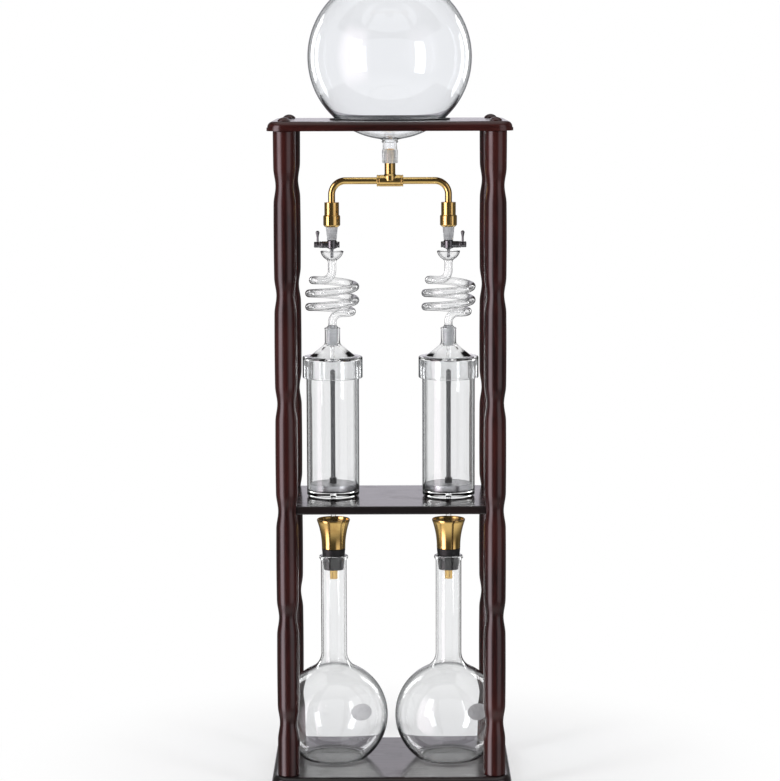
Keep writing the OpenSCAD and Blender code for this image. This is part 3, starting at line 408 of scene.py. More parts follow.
low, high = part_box("post_front_left")
x, y = centreOf("post_front_left")
firstPost = turned(postOutline((high.z - low.z) * 1000), (x, y, low.z * 1000), steps=postLook["segments"])
for node in ("post_front_left", "post_front_right", "post_back_left", "post_back_right"):
    if node == "post_front_left":
        continue
    spot = centreOf(node)
    settle(copied(firstPost, (spot[0] - x, spot[1] - y, 0)), "turned" + node.title().replace("_", ""),
           "post", "frame", [node])
settle(firstPost, "turnedPostFrontLeft", "post", "frame", ["post_front_left"])
print("posts turned")

for node, look in (("base_board", "board"), ("middle_shelf", "board"), ("top_board", "edge")):
    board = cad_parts[node]
    board.data.materials.clear()
    board.data.materials.append(finishes[look])
for node in ("tie_rods", "rod_washers", "rod_nuts_top", "rod_nuts_bottom", "shelf_dowels"):
    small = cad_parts[node]
    small.data.materials.clear()
    small.data.materials.append(finishes["steel"])

padLook = {"radius": 13.0, "height": 4.0, "round": 1.2}
buttonLook = {"radius": 8.2, "height": 5.0, "skirt": 1.0}
low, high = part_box("post_buttons")
boardTop = high.z * 1000 - buttonLook["height"]
dome = (buttonLook["radius"] ** 2 + (buttonLook["height"] - buttonLook["skirt"]) ** 2) / (
    2 * (buttonLook["height"] - buttonLook["skirt"]))
edge = degrees(asin(buttonLook["radius"] / dome))
buttonOutline = [(0, -1.6), (6.4, -1.6), (6.4, 0), (buttonLook["radius"] - 0.4, 0), (buttonLook["radius"], 0.4),
                 (buttonLook["radius"], buttonLook["skirt"])] + arc(
                     (0, buttonLook["height"] - dome), dome, 90 - edge, 90, 12)[1:]
buttons, pads = [], []
for node in ("post_front_left", "post_front_right", "post_back_left", "post_back_right"):
    x, y = centreOf(node)
    buttons.append(turned(buttonOutline, (x, y, boardTop), steps=40))
    pads.append(turned(softened([(0, 0), (padLook["radius"], 0), (padLook["radius"], padLook["height"]),
                                 (0, padLook["height"])], padLook["round"]), (x, y, 0), steps=40))
settle(joined(buttons), "postButtons", "post", "frame", ["post_buttons"])
settle(joined(pads), "basePads", "rubber", "frame", ["base_pads"])
print("buttons and pads made")

# water globe with its lid, seat ring and brass manifold
globeLook = {"radius": 105.0, "wall": 3.0, "mouth": 52.0, "collar": 5.0, "neck": 9.0, "neckLength": 30.0,
             "socket": 10.0, "socketLength": 17.0, "taperTop": 6.15, "taperMouth": 7.0, "segments": 128}
globeZ = bottomOf("water_globe") + globeLook["radius"] + globeLook["neckLength"]


def globeOutline():
    g = globeLook
    outer, inner = g["radius"], g["radius"] - g["wall"]
    lipR, foot = g["mouth"] + g["wall"], -g["radius"] - g["neckLength"]
    lipZ = sqrt(outer ** 2 - lipR ** 2)
    neckAt = degrees(asin((g["neck"] + 5) / outer))
    socketTop = foot + g["socketLength"]
    points = [(g["taperMouth"], foot + 0.6), (g["taperMouth"] + 0.6, foot), (g["socket"] - 0.8, foot),
              (g["socket"], foot + 0.9), (g["socket"], socketTop - 1), (g["neck"] + 0.4, socketTop + 0.6),
              (g["neck"], socketTop + 1.6), (g["neck"], -outer - 4.2)]
    points += arc((g["neck"], -outer - 2.6), 1.5, -90, 70, 8)
    points += [(g["neck"] + 2.2, -outer + 0.1)]
    points += arc((0, 0), outer, -90 + neckAt, degrees(atan2(lipZ, lipR)), 72)
    points += arc((lipR - 1.5, lipZ + g["collar"] - 1.5), 1.5, 0, 180, 10)
    points += [(g["mouth"], lipZ)]
    points += arc((0, 0), inner, degrees(acos(g["mouth"] / inner)),
                  -90 + degrees(asin((g["taperTop"] + 4) / inner)), 72)
    points += [(g["taperTop"] + 1.0, -inner - 1.2), (g["taperTop"], -inner - 4), (g["taperTop"], socketTop)]
    return points


globe = turned(globeOutline(), (0, 0, globeZ), steps=globeLook["segments"], closed=True)
settle(globe, "blownGlobe", "globeGlass", "globe", ["water_globe"])
globe.data.materials.append(finishes["frosted"])
seatTop = globeZ - globeLook["radius"] - globeLook["neckLength"] + globeLook["socketLength"]
for face in globe.data.polygons:
    c = face.center * 1000
    if c.z < seatTop and hypot(c.x, c.y) < globeLook["taperMouth"] + 0.1:
        face.material_index = 1  # ground seat of the brass plug

lidLook = {"rim": 58.0, "thick": 3.0, "dome": 12.0, "ring": 46.0, "knob": 11.0}


def lidOutline():
    g = lidLook
    bulge = (g["ring"] ** 2 + g["dome"] ** 2) / (2 * g["dome"])
    side = degrees(asin(g["ring"] / bulge))
    knobZ = g["thick"] + g["dome"] + g["knob"]
    top = arc((0, g["thick"] + g["dome"] - bulge), bulge, 90 - side, 90 - degrees(asin(7.5 / bulge)), 20)
    under = arc((0, g["dome"] - bulge), bulge, 90, 90 - side, 22)
    knob = [(5.8, knobZ - g["knob"] + 0.6)] + arc((0, knobZ), g["knob"], -50, 90, 18)
    return (under + [(g["ring"], -2 * g["thick"] + 0.8), (g["ring"] + 0.8, -2 * g["thick"]),
                     (g["ring"] + g["thick"] - 0.8, -2 * g["thick"]),
                     (g["ring"] + g["thick"], -2 * g["thick"] + 0.8),
                     (g["ring"] + g["thick"], 0), (g["rim"] - 1.2, 0)] + arc((g["rim"] - 1.5, 1.5), 1.5, -80,
                                                                             80, 6)
            + [(g["rim"] - 1.6, g["thick"]), (g["ring"] + 1.5, g["thick"] + 0.1)] + top[1:] + knob)


settle(turned(lidOutline(), (0, 0, bottomOf("globe_lid") + 2 * lidLook["thick"]), steps=96), "domedLid",
       "glass", "lid", ["globe_lid"])

seatLook = {"radius": 71.0, "thick": 3.0, "flange": 3.0, "band": 9.6, "up": 1.6}
g = seatLook
seatOutline = softened([(g["radius"], -g["band"]), (g["radius"] + g["thick"], -g["band"]),
                        (g["radius"] + g["thick"], 0), (g["radius"] + g["thick"] + g["flange"], 0),
                        (g["radius"] + g["thick"] + g["flange"], g["up"]), (g["radius"], g["up"])], 0.6,
                        closed=True)
settle(turned(seatOutline, (0, 0, boardTop), steps=96, closed=True), "seatRing", "rubber", "frame",
       ["globe_seat_ring"])
print("globe, lid and seat ring blown")

teeLook = {"radius": 7.5, "half": 17.0, "plug": 6.95, "plugTop": 6.1, "plugGap": 15.0, "taper": 17.0,
           "ring": 0.5}
g = teeLook
low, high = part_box("manifold_tee")
teeZ = low.z * 1000 + g["radius"]
tee = turned(softened([(0, -g["half"]), (g["radius"], -g["half"]), (g["radius"], -g["half"] + 2.2),
                       (g["radius"] - g["ring"], -g["half"] + 2.4), (g["radius"] - g["ring"], -g["half"] + 3.2),
                       (g["radius"], -g["half"] + 3.4), (g["radius"], g["half"] - 3.4),
                       (g["radius"] - g["ring"], g["half"] - 3.2), (g["radius"] - g["ring"], g["half"] - 2.4),
                       (g["radius"], g["half"] - 2.2), (g["radius"], g["half"]), (0, g["half"])], 0.7),
             (0, 0, teeZ), "x", 64)
root = g["radius"] + g["plugGap"]
plug = turned(softened([(0, 0), (g["plug"] + 1.6, 0), (g["plug"] + 1.6, g["radius"] - 0.8),
                        (g["plug"], g["radius"] + 1.2),
                        (g["plug"], root), (g["plugTop"], root + g["taper"]), (4.0, root + g["taper"]),
                        (4.0, root + g["taper"] - 6), (0, root + g["taper"] - 6)], 0.6), (0, 0, teeZ), "z", 64)
settle(joined([tee, plug]), "brassTee", "brass", "globe", ["manifold_tee"])

armLook = {"radius": 4.5, "start": 9.0, "bend": 17.5, "stack": 75.0, "into": 10.0}
sleeveLook = {"upper": 9.4, "collar": 10.9, "height": 31.5, "collarHeight": 15.0, "chamfer": 2.2}
coneLook = {"tip": 6.1, "root": 7.7, "length": 17.0, "into": 9.0}
for side, k in sides.items():
    g = armLook
    corner = (k * (g["stack"] - g["bend"]), teeZ - g["bend"])
    legEnd = bottomOf("manifold_arm_" + side)
    bend = [(k * (abs(corner[0]) + g["bend"] * sin(radians(a))), 0, corner[1] + g["bend"] * cos(radians(a)))
            for a in range(0, 91, 5)]
    settle(swept([(k * g["start"], 0, teeZ)] + bend + [(k * g["stack"], 0, legEnd)], g["radius"], smoothness=9),
           "bentArm" + side.title(), "brass", "globe", ["manifold_arm_" + side])
    s = sleeveLook
    sleeveZ = bottomOf("arm_sleeve_" + side)
    sleeve = [(0, 1.0), (7.9, 1.0), (7.9, 0), (s["collar"] - s["chamfer"], 0), (s["collar"], s["chamfer"]),
              (s["collar"], s["collarHeight"] - 1.2), (s["upper"] + 0.6, s["collarHeight"]),
              (s["upper"], s["collarHeight"]), (s["upper"], s["height"]), (5.0, s["height"]),
              (4.6, s["height"] - 1), (0, s["height"] - 1)]
    settle(turned(softened(sleeve, 0.5), (k * g["stack"], 0, sleeveZ), steps=72), "armSleeve" + side.title(),
           "brass", "globe", ["arm_sleeve_" + side])
    c = coneLook
    coneZ = bottomOf("valve_cone_" + side)
    settle(turned(softened([(0, 0), (c["tip"], 0), (c["root"], c["length"]),
                            (c["root"], c["length"] + c["into"]),
                            (0, c["length"] + c["into"])], 0.4), (k * g["stack"], 0, coneZ), steps=64),
           "valveCone" + side.title(), "frosted", "globe", ["valve_cone_" + side])
print("manifold bent and turned")

# drip valves
valveLook = {"upright": 6.2, "up": 6.0, "barrel": 4.3, "inboard": 7.0, "outboard": 16.0, "spigot": 2.5,
             "spout": 2.0,
             "reach": 17.0, "bore": 1.0}
keyLook = {"shaft": 2.3, "boss": 3.8, "gap": 0.3, "bossWidth": 4.0, "headEnd": 23.0, "nut": 4.0,
           "nutWidth": 2.5}
leverLook = {"stem": 1.35, "length": 18.0, "tip": 2.5}
for side, k in sides.items():
    v, axis = valveLook, "x" if k > 0 else "-x"
    keyZ = bottomOf("valve_body_" + side) + v["reach"]
    spot = (k * armLook["stack"], 0, keyZ)
    upright = turned(softened([(v["bore"], -v["reach"]), (v["spout"] - 0.4, -v["reach"]),
                               (v["spout"], -v["reach"] + 0.8),
                               (v["spout"], -v["barrel"] - v["spout"]), (v["spout"] + 0.9, -v["barrel"] - 1.6),
                               (v["upright"], -v["barrel"]), (v["upright"], v["up"] - 1.2),
                               (v["upright"] - 1.0, v["up"]),
                               (v["spigot"], v["up"]), (v["spigot"], v["up"] + 8.0), (0, v["up"] + 8.0),
                               (0, -v["reach"] + 3), (v["bore"], -v["reach"] + 3)], 0.3, closed=True),
                     spot, "z", 48, closed=True)
    barrel = turned(softened([(0, -v["inboard"]), (v["barrel"], -v["inboard"]),
                              (v["barrel"], v["outboard"] - 3.0),
                              (v["barrel"] - 0.4, v["outboard"] - 2.6),
                              (v["barrel"] - 0.4, v["outboard"] - 1.8),
                              (v["barrel"], v["outboard"] - 1.4), (v["barrel"], v["outboard"]),
                              (0, v["outboard"])], 0.35),
                    spot, axis, 48)
    settle(joined([upright, barrel]), "valveBody" + side.title(), "valve", "globe",
           ["valve_body_" + side])
    q = keyLook
    bossAt = v["outboard"] + q["gap"]
    key = turned(softened([(0, -v["inboard"] - q["nutWidth"] - q["gap"]),
                           (q["shaft"], -v["inboard"] - q["nutWidth"] - q["gap"]),
                           (q["shaft"], bossAt + q["bossWidth"]), (q["boss"], bossAt + q["bossWidth"]),
                           (q["boss"], q["headEnd"] - 0.4), (q["boss"] - 0.8, q["headEnd"]),
                           (1.4, q["headEnd"]),
                           (1.2, q["headEnd"] - 0.7), (0, q["headEnd"] - 0.7)], 0.3), spot, axis, 40)
    settle(key, "valveKey" + side.title(), "valve", "valve_" + side, ["valve_key_" + side])
    boss = turned(softened([(0, bossAt), (q["boss"], bossAt), (q["boss"], bossAt + q["bossWidth"]),
                            (0, bossAt + q["bossWidth"])], 0.5), spot, axis, 40)
    n = leverLook
    ball = n["length"] - n["tip"]
    stem = turned([(0, 0), (n["stem"], 0), (n["stem"], ball - 6.0), (n["stem"] + 0.3, ball - 4.0),
                   (n["tip"] - 0.35, ball - 1.4)] + arc((0, ball), n["tip"], -12, 90, 9),
                  (k * (armLook["stack"] + bossAt + q["bossWidth"] / 2), 0, keyZ), "z", 32)
    settle(joined([boss, stem]), "valveLever" + side.title(), "valve", "valve_" + side,
           ["valve_lever_" + side])
    nutEnd = -v["inboard"] - q["gap"]
    nut = turned(softened([(0, nutEnd - q["nutWidth"]), (q["nut"], nutEnd - q["nutWidth"]),
                           (q["nut"], nutEnd - 1.9),
                           (q["nut"] - 0.35, nutEnd - 1.7), (q["nut"] - 0.35, nutEnd - 1.3),
                           (q["nut"], nutEnd - 1.1),
                           (q["nut"], nutEnd), (0, nutEnd)], 0.3), spot, axis, 40)
    settle(nut, "valveNut" + side.title(), "valve", "valve_" + side, ["valve_nut_" + side])
print("valves turned")

# glass spirals: the same route as the solid's, with many more points
spiralLook = {"tube": 5.25, "wall": 1.6, "coil": 29.75, "pitch": 17.5, "turns": 2.5, "join": 12.0, "stem": 13.0,
              "foot": 7.0, "cup": 15.0, "cupDepth": 13.0, "cupWall": 1.8, "joint": 8.0,
              "jointLength": 24.0, "taper": 0.05, "tip": 2.625, "tipLength": 15.0, "tipBore": 1.0}
g = spiralLook
joinAngle = asin(g["join"] / (g["coil"] - g["join"]))
joinDrop = g["pitch"] / (2 * pi * g["coil"]) * g["join"] * (pi / 2 + joinAngle) / 2
woundTurns = g["turns"] - joinAngle / pi
spiralRise = g["cupDepth"] + g["stem"] + g["foot"] + 2 * (g["join"] + joinDrop) + g["pitch"] * woundTurns


def spiralRoute():
    g = spiralLook
    stemTop = spiralRise - g["cupDepth"]
    elbowTop = stemTop - g["stem"]
    wayIn = []
    for i in range(13):
        a = pi / 2 * i / 12
        wayIn.append((g["join"] * (cos(a) - 1), 0, elbowTop - g["join"] * sin(a)))
    for i in range(1, 20):
        share = i / 20
        a = -pi / 2 - share * (pi / 2 + joinAngle)
        wayIn.append((g["join"] * cos(a) - (g["coil"] - g["join"]) * cos(joinAngle),
                      g["join"] * sin(a) + g["join"],
                      elbowTop - g["join"] - joinDrop * share * share))
    coil, count = [], ceil(woundTurns * 60)
    for i in range(count + 1):
        a = pi - joinAngle - 2 * pi * woundTurns * i / count
        coil.append((g["coil"] * cos(a), g["coil"] * sin(a),
                     elbowTop - g["join"] - joinDrop - g["pitch"] * woundTurns * i / count))
    turn = -2 * pi * g["turns"]
    wayOut = [(p[0] * cos(turn) + p[1] * sin(turn), p[0] * sin(turn) - p[1] * cos(turn),
               elbowTop + g["foot"] - p[2])
              for p in reversed(wayIn)]
    return wayIn + coil + wayOut


def rimEdges(piece, height, innerR, outerR, centre):
    # picks the open edges of one ring of a piece, lying near a height and between two radii
    used = {}
    for face in piece.data.polygons:
        for key in face.edge_keys:
            used[key] = used.get(key, 0) + 1
    for edge in piece.data.edges:
        ends = [piece.data.vertices[i].co * 1000 for i in edge.vertices]
        away = [hypot(p.x - centre[0], p.y - centre[1]) for p in ends]
        edge.select = (used.get(tuple(sorted(edge.vertices)),
                                0) == 1 and all(abs(p.z - height) < 0.9 for p in ends)
                       and all(innerR < a < outerR for a in away))


def bridged(piece, height, innerR, outerR, centre):
    deselect()
    bpy.context.view_layer.objects.active = piece
    piece.select_set(True)
    bpy.ops.object.mode_set(mode="EDIT")
    bpy.ops.mesh.select_mode(type="EDGE")
    bpy.ops.mesh.select_all(action="DESELECT")
    bpy.ops.object.mode_set(mode="OBJECT")
    rimEdges(piece, height, innerR, outerR, centre)
    bpy.ops.object.mode_set(mode="EDIT")
    bpy.ops.mesh.bridge_edge_loops()
    bpy.ops.mesh.select_mode(type="VERT")
    bpy.ops.object.mode_set(mode="OBJECT")


tubeSegments = 24
for side, k in sides.items():
    g = spiralLook
    zero = bottomOf("drip_spiral_" + side) + g["jointLength"] + g["tipLength"]
    spot = (k * armLook["stack"], 0, zero)
    tubeR, boreR, gap = g["tube"], g["tube"] - g["wall"], 0.4
    route = [tuple(Vector(p) + Vector(spot)) for p in spiralRoute()]
    outer = swept(route, tubeR, capped=False, smoothness=tubeSegments // 4 - 1)
    inner = swept(route, boreR, capped=False, smoothness=tubeSegments // 4 - 1)
    floorZ = spiralRise - g["cupDepth"]
    stemEnd = floorZ - g["stem"] + gap
    ball = (g["cup"] ** 2 + g["cupDepth"] ** 2) / (2 * g["cupDepth"])
    hollow, middle, rim = ball - g["cupWall"], floorZ + ball, g["cupWall"] / 2
    cup = ([(boreR, stemEnd), (boreR, floorZ + 0.6), (boreR + 0.2, floorZ + g["cupWall"])]
           + arc((0, middle), hollow, -degrees(acos((boreR + 0.9) / hollow)),
                 degrees(asin((spiralRise - 1.0 - middle) / hollow)), 16)
           + arc((g["cup"] - rim - 0.05, spiralRise - rim), rim, 170, 10, 6)
           + arc((0, middle), ball, degrees(asin((spiralRise - 1.2 - middle) / ball)),
                 -degrees(acos((tubeR + 1.6) / ball)), 18)
           + [(tubeR + 0.7, floorZ + 0.6), (tubeR + 0.2, floorZ - 0.4), (tubeR, floorZ - 2.0),
              (tubeR, stemEnd)])
    bowl = turned(cup, spot, steps=tubeSegments * 2)
    j = g["joint"]
    tipR, jointEnd = j - g["taper"] * g["jointLength"], -g["jointLength"]
    start = g["foot"] - gap
    foot = softened([(tubeR, start), (tubeR, 3.0), (j - 0.6, 0.6), (j, 0), (tipR, jointEnd + 0.8),
                     (tipR - 0.8, jointEnd),
                     (g["tip"] + 1.2, jointEnd), (g["tip"], jointEnd - 1.4),
                     (g["tip"], jointEnd - g["tipLength"]),
                     (g["tipBore"], jointEnd - g["tipLength"]), (g["tipBore"], jointEnd + 0.8),
                     (boreR, jointEnd + 3.0), (boreR, 0.5), (boreR, start)], 0.5)
    base = turned(foot, spot, steps=tubeSegments * 2)
    spiral = joined([outer, inner, bowl, base])
    for height, low, high in ((floorZ - g["stem"], tubeR - 0.8, tubeR + 0.8),
                              (floorZ - g["stem"], boreR - 0.7, boreR + 0.7),
                              (g["foot"], tubeR - 0.8, tubeR + 0.8), (g["foot"], boreR - 0.7, boreR + 0.7)):
        bridged(spiral, zero + height, low, high, spot)
    bpy.ops.object.mode_set(mode="EDIT")
    bpy.ops.mesh.select_all(action="SELECT")
    bpy.ops.mesh.normals_make_consistent(inside=False)
    bpy.ops.object.mode_set(mode="OBJECT")
    settle(spiral, "glassSpiral" + side.title(), "thickGlass", "spiral_" + side,
           ["drip_spiral_" + side])
    spiral.data.materials.append(finishes["frosted"])
    for face in spiral.data.polygons:
        c = face.center * 1000 - Vector(spot)
        if jointEnd + 0.6 < c.z < 0.1 and hypot(c.x, c.y) > tipR - 1.0:
            face.material_index = 1
print("spirals wound")

# column caps, columns and filters
capLook = {"skirt": 35.8, "wall": 3.0, "skirtHeight": 25.0, "neck": 9.8, "rise": 40.0, "neckHeight": 24.0,
           "joint": 8.05, "jointFoot": 6.85, "shoulder": 9.0}
columnLook = {"radius": 34.0, "wall": 3.0, "floor": 8.0, "round": 4.0, "height": 180.0, "outlet": 6.0,
              "bore": 2.5,
              "tip": 3.5, "shelf": 10.5}
filterLook = {"radius": 30.4, "wall": 1.0, "height": 9.0, "mesh": 0.8, "hub": 4.8, "hubHeight": 7.5, "rod": 3.0,
              "stud": 2.0, "grip": 3.3, "gripLength": 20.0, "length": 150.0, "ledge": 2.0}
for side, k in sides.items():
    x = k * armLook["stack"]
    c = capLook
    rimZ = bottomOf("column_cap_" + side) + c["skirtHeight"]
    outR, foot = c["skirt"] + c["wall"], c["rise"] - c["neckHeight"]
    coneR = outR - c["shoulder"]
    lean = Vector((c["neck"] - coneR, foot)).normalized()
    innerR = coneR - c["wall"] / 2
    tilt = Vector((c["jointFoot"] - innerR, foot)).normalized()
    cap = ([(c["skirt"], -c["skirtHeight"] + 0.8)]
           + arc((outR - 1.5, -c["skirtHeight"] + 1.5), 1.5, 190, 350, 8)
           + [(outR, -3.0), (outR, c["wall"] - 2.2)] + arc((outR - 2.0, c["wall"] - 2.0), 2.0, 5, 85, 6)
           + [(coneR + 1.6, c["wall"]), (coneR + 0.5, c["wall"] + 0.1),
              (coneR + lean.x * 0.8, c["wall"] + lean.y * 0.8),
              (coneR + lean.x * 1.4, c["wall"] + lean.y * 1.4),
              (c["neck"] - lean.x * 3.4, foot + c["wall"] - lean.y * 3.4),
              (c["neck"] - lean.x * 2.4, foot + c["wall"] - lean.y * 2.4),
              (c["neck"] + 0.5, foot + c["wall"] + 0.4),
              (c["neck"], foot + c["wall"] + 2.6), (c["neck"], c["rise"] - 2.4),
              (c["neck"] + 0.5, c["rise"] - 1.4),
              (c["neck"] + 0.2, c["rise"] - 0.2), (c["neck"] - 0.5, c["rise"]), (c["joint"] + 0.2, c["rise"]),
              (c["joint"], c["rise"] - 0.4), (c["jointFoot"], foot),
              (c["jointFoot"] - tilt.x * 0.6, foot - tilt.y * 0.6),
              (innerR + tilt.x * 0.8, tilt.y * 0.8), (innerR + 0.5, 0.05), (innerR + 1.2, 0),
              (c["skirt"] - 0.8, 0), (c["skirt"], -0.8)])
    cover = turned(cap, (x, 0, rimZ), steps=96, closed=True)
    settle(cover, "glassCap" + side.title(), "tubeGlass", "frame", ["column_cap_" + side])
    cover.data.materials.append(finishes["capGlass"])
    # faces that lean well away from upright take capGlass, whose painted rim shade is paler and narrower
    for face in cover.data.polygons:
        face.material_index = int(abs(face.normal.z) > 0.3)
    q = columnLook
    low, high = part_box("coffee_column_" + side)
    footZ = high.z * 1000 - q["height"]
    tipZ = low.z * 1000 - footZ
    inR = q["radius"] - q["wall"]
    column = ([(q["bore"], tipZ), (q["tip"], tipZ), (q["outlet"], -q["shelf"]), (q["outlet"], -1.2),
               (q["outlet"] + 1.2, 0)]
              + [(q["radius"] - q["round"] - 6, 0)] + arc((q["radius"] - q["round"], q["round"]), q["round"],
                                                          -90, 0, 10)
              + [(q["radius"], q["floor"] + 4), (q["radius"], q["height"] - 1.6)]
              + arc((q["radius"] - q["wall"] / 2, q["height"] - 1.5), 1.5, 0, 180, 8)
              + [(inR, q["height"] - 1.6), (inR, q["floor"] + 3)] + arc((inR - 2, q["floor"] + 2), 2, 0, -90, 5)
              + [(q["bore"] + 4, q["floor"] - 0.2), (q["bore"] + 0.6, q["floor"] - 0.8),
                 (q["bore"], q["floor"] - 2)])
    settle(turned(column, (x, 0, footZ), steps=96, closed=True), "glassColumn" + side.title(), "tubeGlass",
           "frame",
           ["coffee_column_" + side])
    f = filterLook
    panZ = bottomOf("filter_pan_" + side)
    pan = turned(softened([(f["stud"] + 0.1, 0), (f["radius"] - 1.2, 0), (f["radius"], 1.2),
                           (f["radius"], f["height"]),
                           (f["radius"] - f["wall"], f["height"]),
                           (f["radius"] - f["wall"], f["height"] - f["mesh"]),
                           (f["radius"] - f["wall"] - f["ledge"], f["height"] - f["mesh"]),
                           (f["radius"] - f["wall"] - f["ledge"], f["wall"]), (f["hub"], f["wall"]),
                           (f["hub"], f["height"] - f["mesh"]), (f["stud"] + 0.1, f["height"] - f["mesh"])],
                           0.35,
                          closed=True), (x, 0, panZ), steps=72, closed=True)
    settle(pan, "filterPan" + side.title(), "steel", "frame", ["filter_pan_" + side])
    meshZ = panZ + f["height"] - f["mesh"]
    meshR = f["radius"] - f["wall"] - 0.05
    disc = turned(softened([(f["stud"] + 0.1, 0), (meshR, 0), (meshR, f["mesh"] * 0.6),
                            (meshR - 0.6, f["mesh"]),
                            (meshR - 1.6, f["mesh"]), (meshR - 2.0, f["mesh"] * 0.7),
                            (f["hub"] + 2.2, f["mesh"] * 0.7),
                            (f["hub"] + 1.8, f["mesh"]), (f["stud"] + 0.1, f["mesh"])], 0.15, closed=True),
                  (x, 0, meshZ), steps=72, closed=True)
    settle(disc, "filterMesh" + side.title(), "weave", "frame", ["filter_mesh_" + side])
    hubZ = meshZ + f["mesh"]
    knurls = []
    for i in range(24):
        knurls.append((f["hub"] - 0.35 * (i % 2), 1.2 + (f["hubHeight"] - 2.4) * i / 23))
    hub = turned([(f["rod"] + 0.1, 0), (f["hub"] - 0.5, 0), (f["hub"], 0.5)] + knurls
                 + [(f["hub"], f["hubHeight"] - 0.8), (f["hub"] - 0.7, f["hubHeight"]),
                    (f["rod"] + 0.1, f["hubHeight"])],
                 (x, 0, hubZ), steps=48, closed=True)
    settle(hub, "filterHub" + side.title(), "rod", "frame", ["filter_hub_" + side])
    top, gripStart = f["length"], f["length"] - f["gripLength"]
    rod = turned([(0, -f["height"] + f["mesh"] + f["wall"]),
                  (f["stud"], -f["height"] + f["mesh"] + f["wall"]), (f["stud"], 0),
                  (f["rod"], 0.0), (f["rod"], gripStart - 0.8), (f["grip"] - 0.1, gripStart),
                  (f["grip"], gripStart + 0.4),
                  (f["grip"], top - f["grip"] - 3), (f["grip"] - 0.4, top - f["grip"] - 2.6),
                  (f["grip"] - 0.4, top - f["grip"] - 1.6),
                  (f["grip"], top - f["grip"] - 1.2)] + arc((0, top - f["grip"]), f["grip"], 0, 90, 10),
                 (x, 0, hubZ), steps=40)
    settle(rod, "filterRod" + side.title(), "rod", "frame", ["filter_rod_" + side])
print("caps, columns and filters made")

# funnels, stoppers and flasks
funnelLook = {"rim": 21.5, "height": 39.0, "band": 2.0, "wall": 1.4, "stem": 5.0, "bore": 3.0, "foot": 15.35,
              "stemLength": 39.5}
stopperLook = {"top": 15.35, "rate": 0.1, "height": 27.5, "bore": 5.05}
flaskLook = {"bulb": 70.0, "foot": 40.5, "neck": 16.8, "wall": 2.3, "sweep": 22.0, "lip": 18.8,
             "lipHeight": 5.0,
             "height": 270.0}


def flaskOutline(inset):
    # from the middle of the foot out round the bulb, through the sweep and up the neck
    g = flaskLook
    middle = sqrt(g["bulb"] ** 2 - g["foot"] ** 2)
    bulb, sweep, neck = g["bulb"] - inset, g["sweep"] + inset, g["neck"] - inset
    rise = sqrt((bulb + sweep) ** 2 - (neck + sweep) ** 2)
    join = degrees(atan2(rise, neck + sweep))
    start = -degrees(asin((middle - inset) / bulb))
    return middle, rise, arc((0, middle), bulb, start, join, 60) + arc((neck + sweep, middle + rise), sweep,
            180 + join, 180, 18)[1:]


def flaskWall():
    g = flaskLook
    middle, rise, outside = flaskOutline(0)
    inside = flaskOutline(g["wall"])[2]
    lipZ, inR = g["height"], g["neck"] - g["wall"]
    footRound = [(g["foot"] - 5.5, 0.5), (g["foot"] - 3.0, 0.0), (g["foot"] - 0.6, 0.25)]
    neckTop = [(g["neck"], lipZ - g["lipHeight"] - 1.6), (g["neck"] + 0.5, lipZ - g["lipHeight"] - 0.5),
               (g["lip"] - 0.6, lipZ - g["lipHeight"] + 0.6), (g["lip"], lipZ - g["lipHeight"] + 1.8),
               (g["lip"], lipZ - 1.8),
               (g["lip"] - 0.5, lipZ - 0.5), (g["lip"] - 1.6, lipZ), (inR + 1.0, lipZ),
               (inR + 0.2, lipZ - 0.4), (inR, lipZ - 1.2)]
    floor = [(inside[0][0] - 4.0, g["wall"] + 0.35), (inside[0][0] - 9.0, g["wall"] + 0.1),
             (0, g["wall"] + 0.1)]
    return ([(0, 0.9), (g["foot"] - 9.0, 0.9)] + footRound + [p for p in outside if p[1] > 1.0] + neckTop
            + [p for p in reversed(inside) if p[1] > g["wall"] + 0.6] + floor)


for side, k in sides.items():
    x = k * armLook["stack"]
    q, s = funnelLook, stopperLook
    lipZ = bottomOf("flask_" + side) + flaskLook["height"]
    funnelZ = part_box("funnel_" + side)[1].z * 1000 - q["height"]
    flare, flareH = q["rim"] - q["foot"], q["height"] - 2 * q["band"]
    curve = (flare ** 2 + flareH ** 2) / (2 * flare)
    sideWall = [(q["foot"] + curve - sqrt(curve ** 2 - (flareH * t) ** 2), q["band"] + flareH * t)
                for t in (i / 14 for i in range(15))]
    inWall = [(r - q["wall"] - 1.4 * (1 - t), z) for (r, z),
              t in zip(sideWall, (i / 14 for i in range(15))) if z > q["height"] / 2 - 1]
    funnel = ([(q["bore"], -q["stemLength"]), (q["stem"], -q["stemLength"]), (q["stem"], 0),
               (q["foot"] - 0.5, 0), (q["foot"], 0.5)]
              + sideWall + [(q["rim"], q["height"] - 0.6), (q["rim"] - 0.5, q["height"]),
                            (q["rim"] - q["wall"] + 0.3, q["height"]),
                            (q["rim"] - q["wall"], q["height"] - 0.4)]
              + list(reversed(inWall)) + [(q["bore"] + 0.6, 6.6), (q["bore"], 5.6)])
    settle(turned(funnel, (x, 0, funnelZ), steps=80, closed=True), "brassFunnel" + side.title(), "brass",
           "funnel_" + side, ["funnel_" + side])
    footR = s["top"] - s["rate"] * s["height"]
    stopper = softened([(s["bore"], 0), (footR, 0), (s["top"], s["height"]), (s["bore"], s["height"])], 1.1,
                       closed=True)
    settle(turned(stopper, (x, 0, bottomOf("flask_stopper_" + side)), steps=64, closed=True),
           "stopper" + side.title(),
           "rubber", "funnel_" + side, ["flask_stopper_" + side])
    flaskZ = bottomOf("flask_" + side)
    settle(turned(flaskWall(), (x, 0, flaskZ), steps=112), "roundFlask" + side.title(), "glass",
           "flask_" + side,
           ["flask_" + side])
print("funnels, stoppers and flasks made")

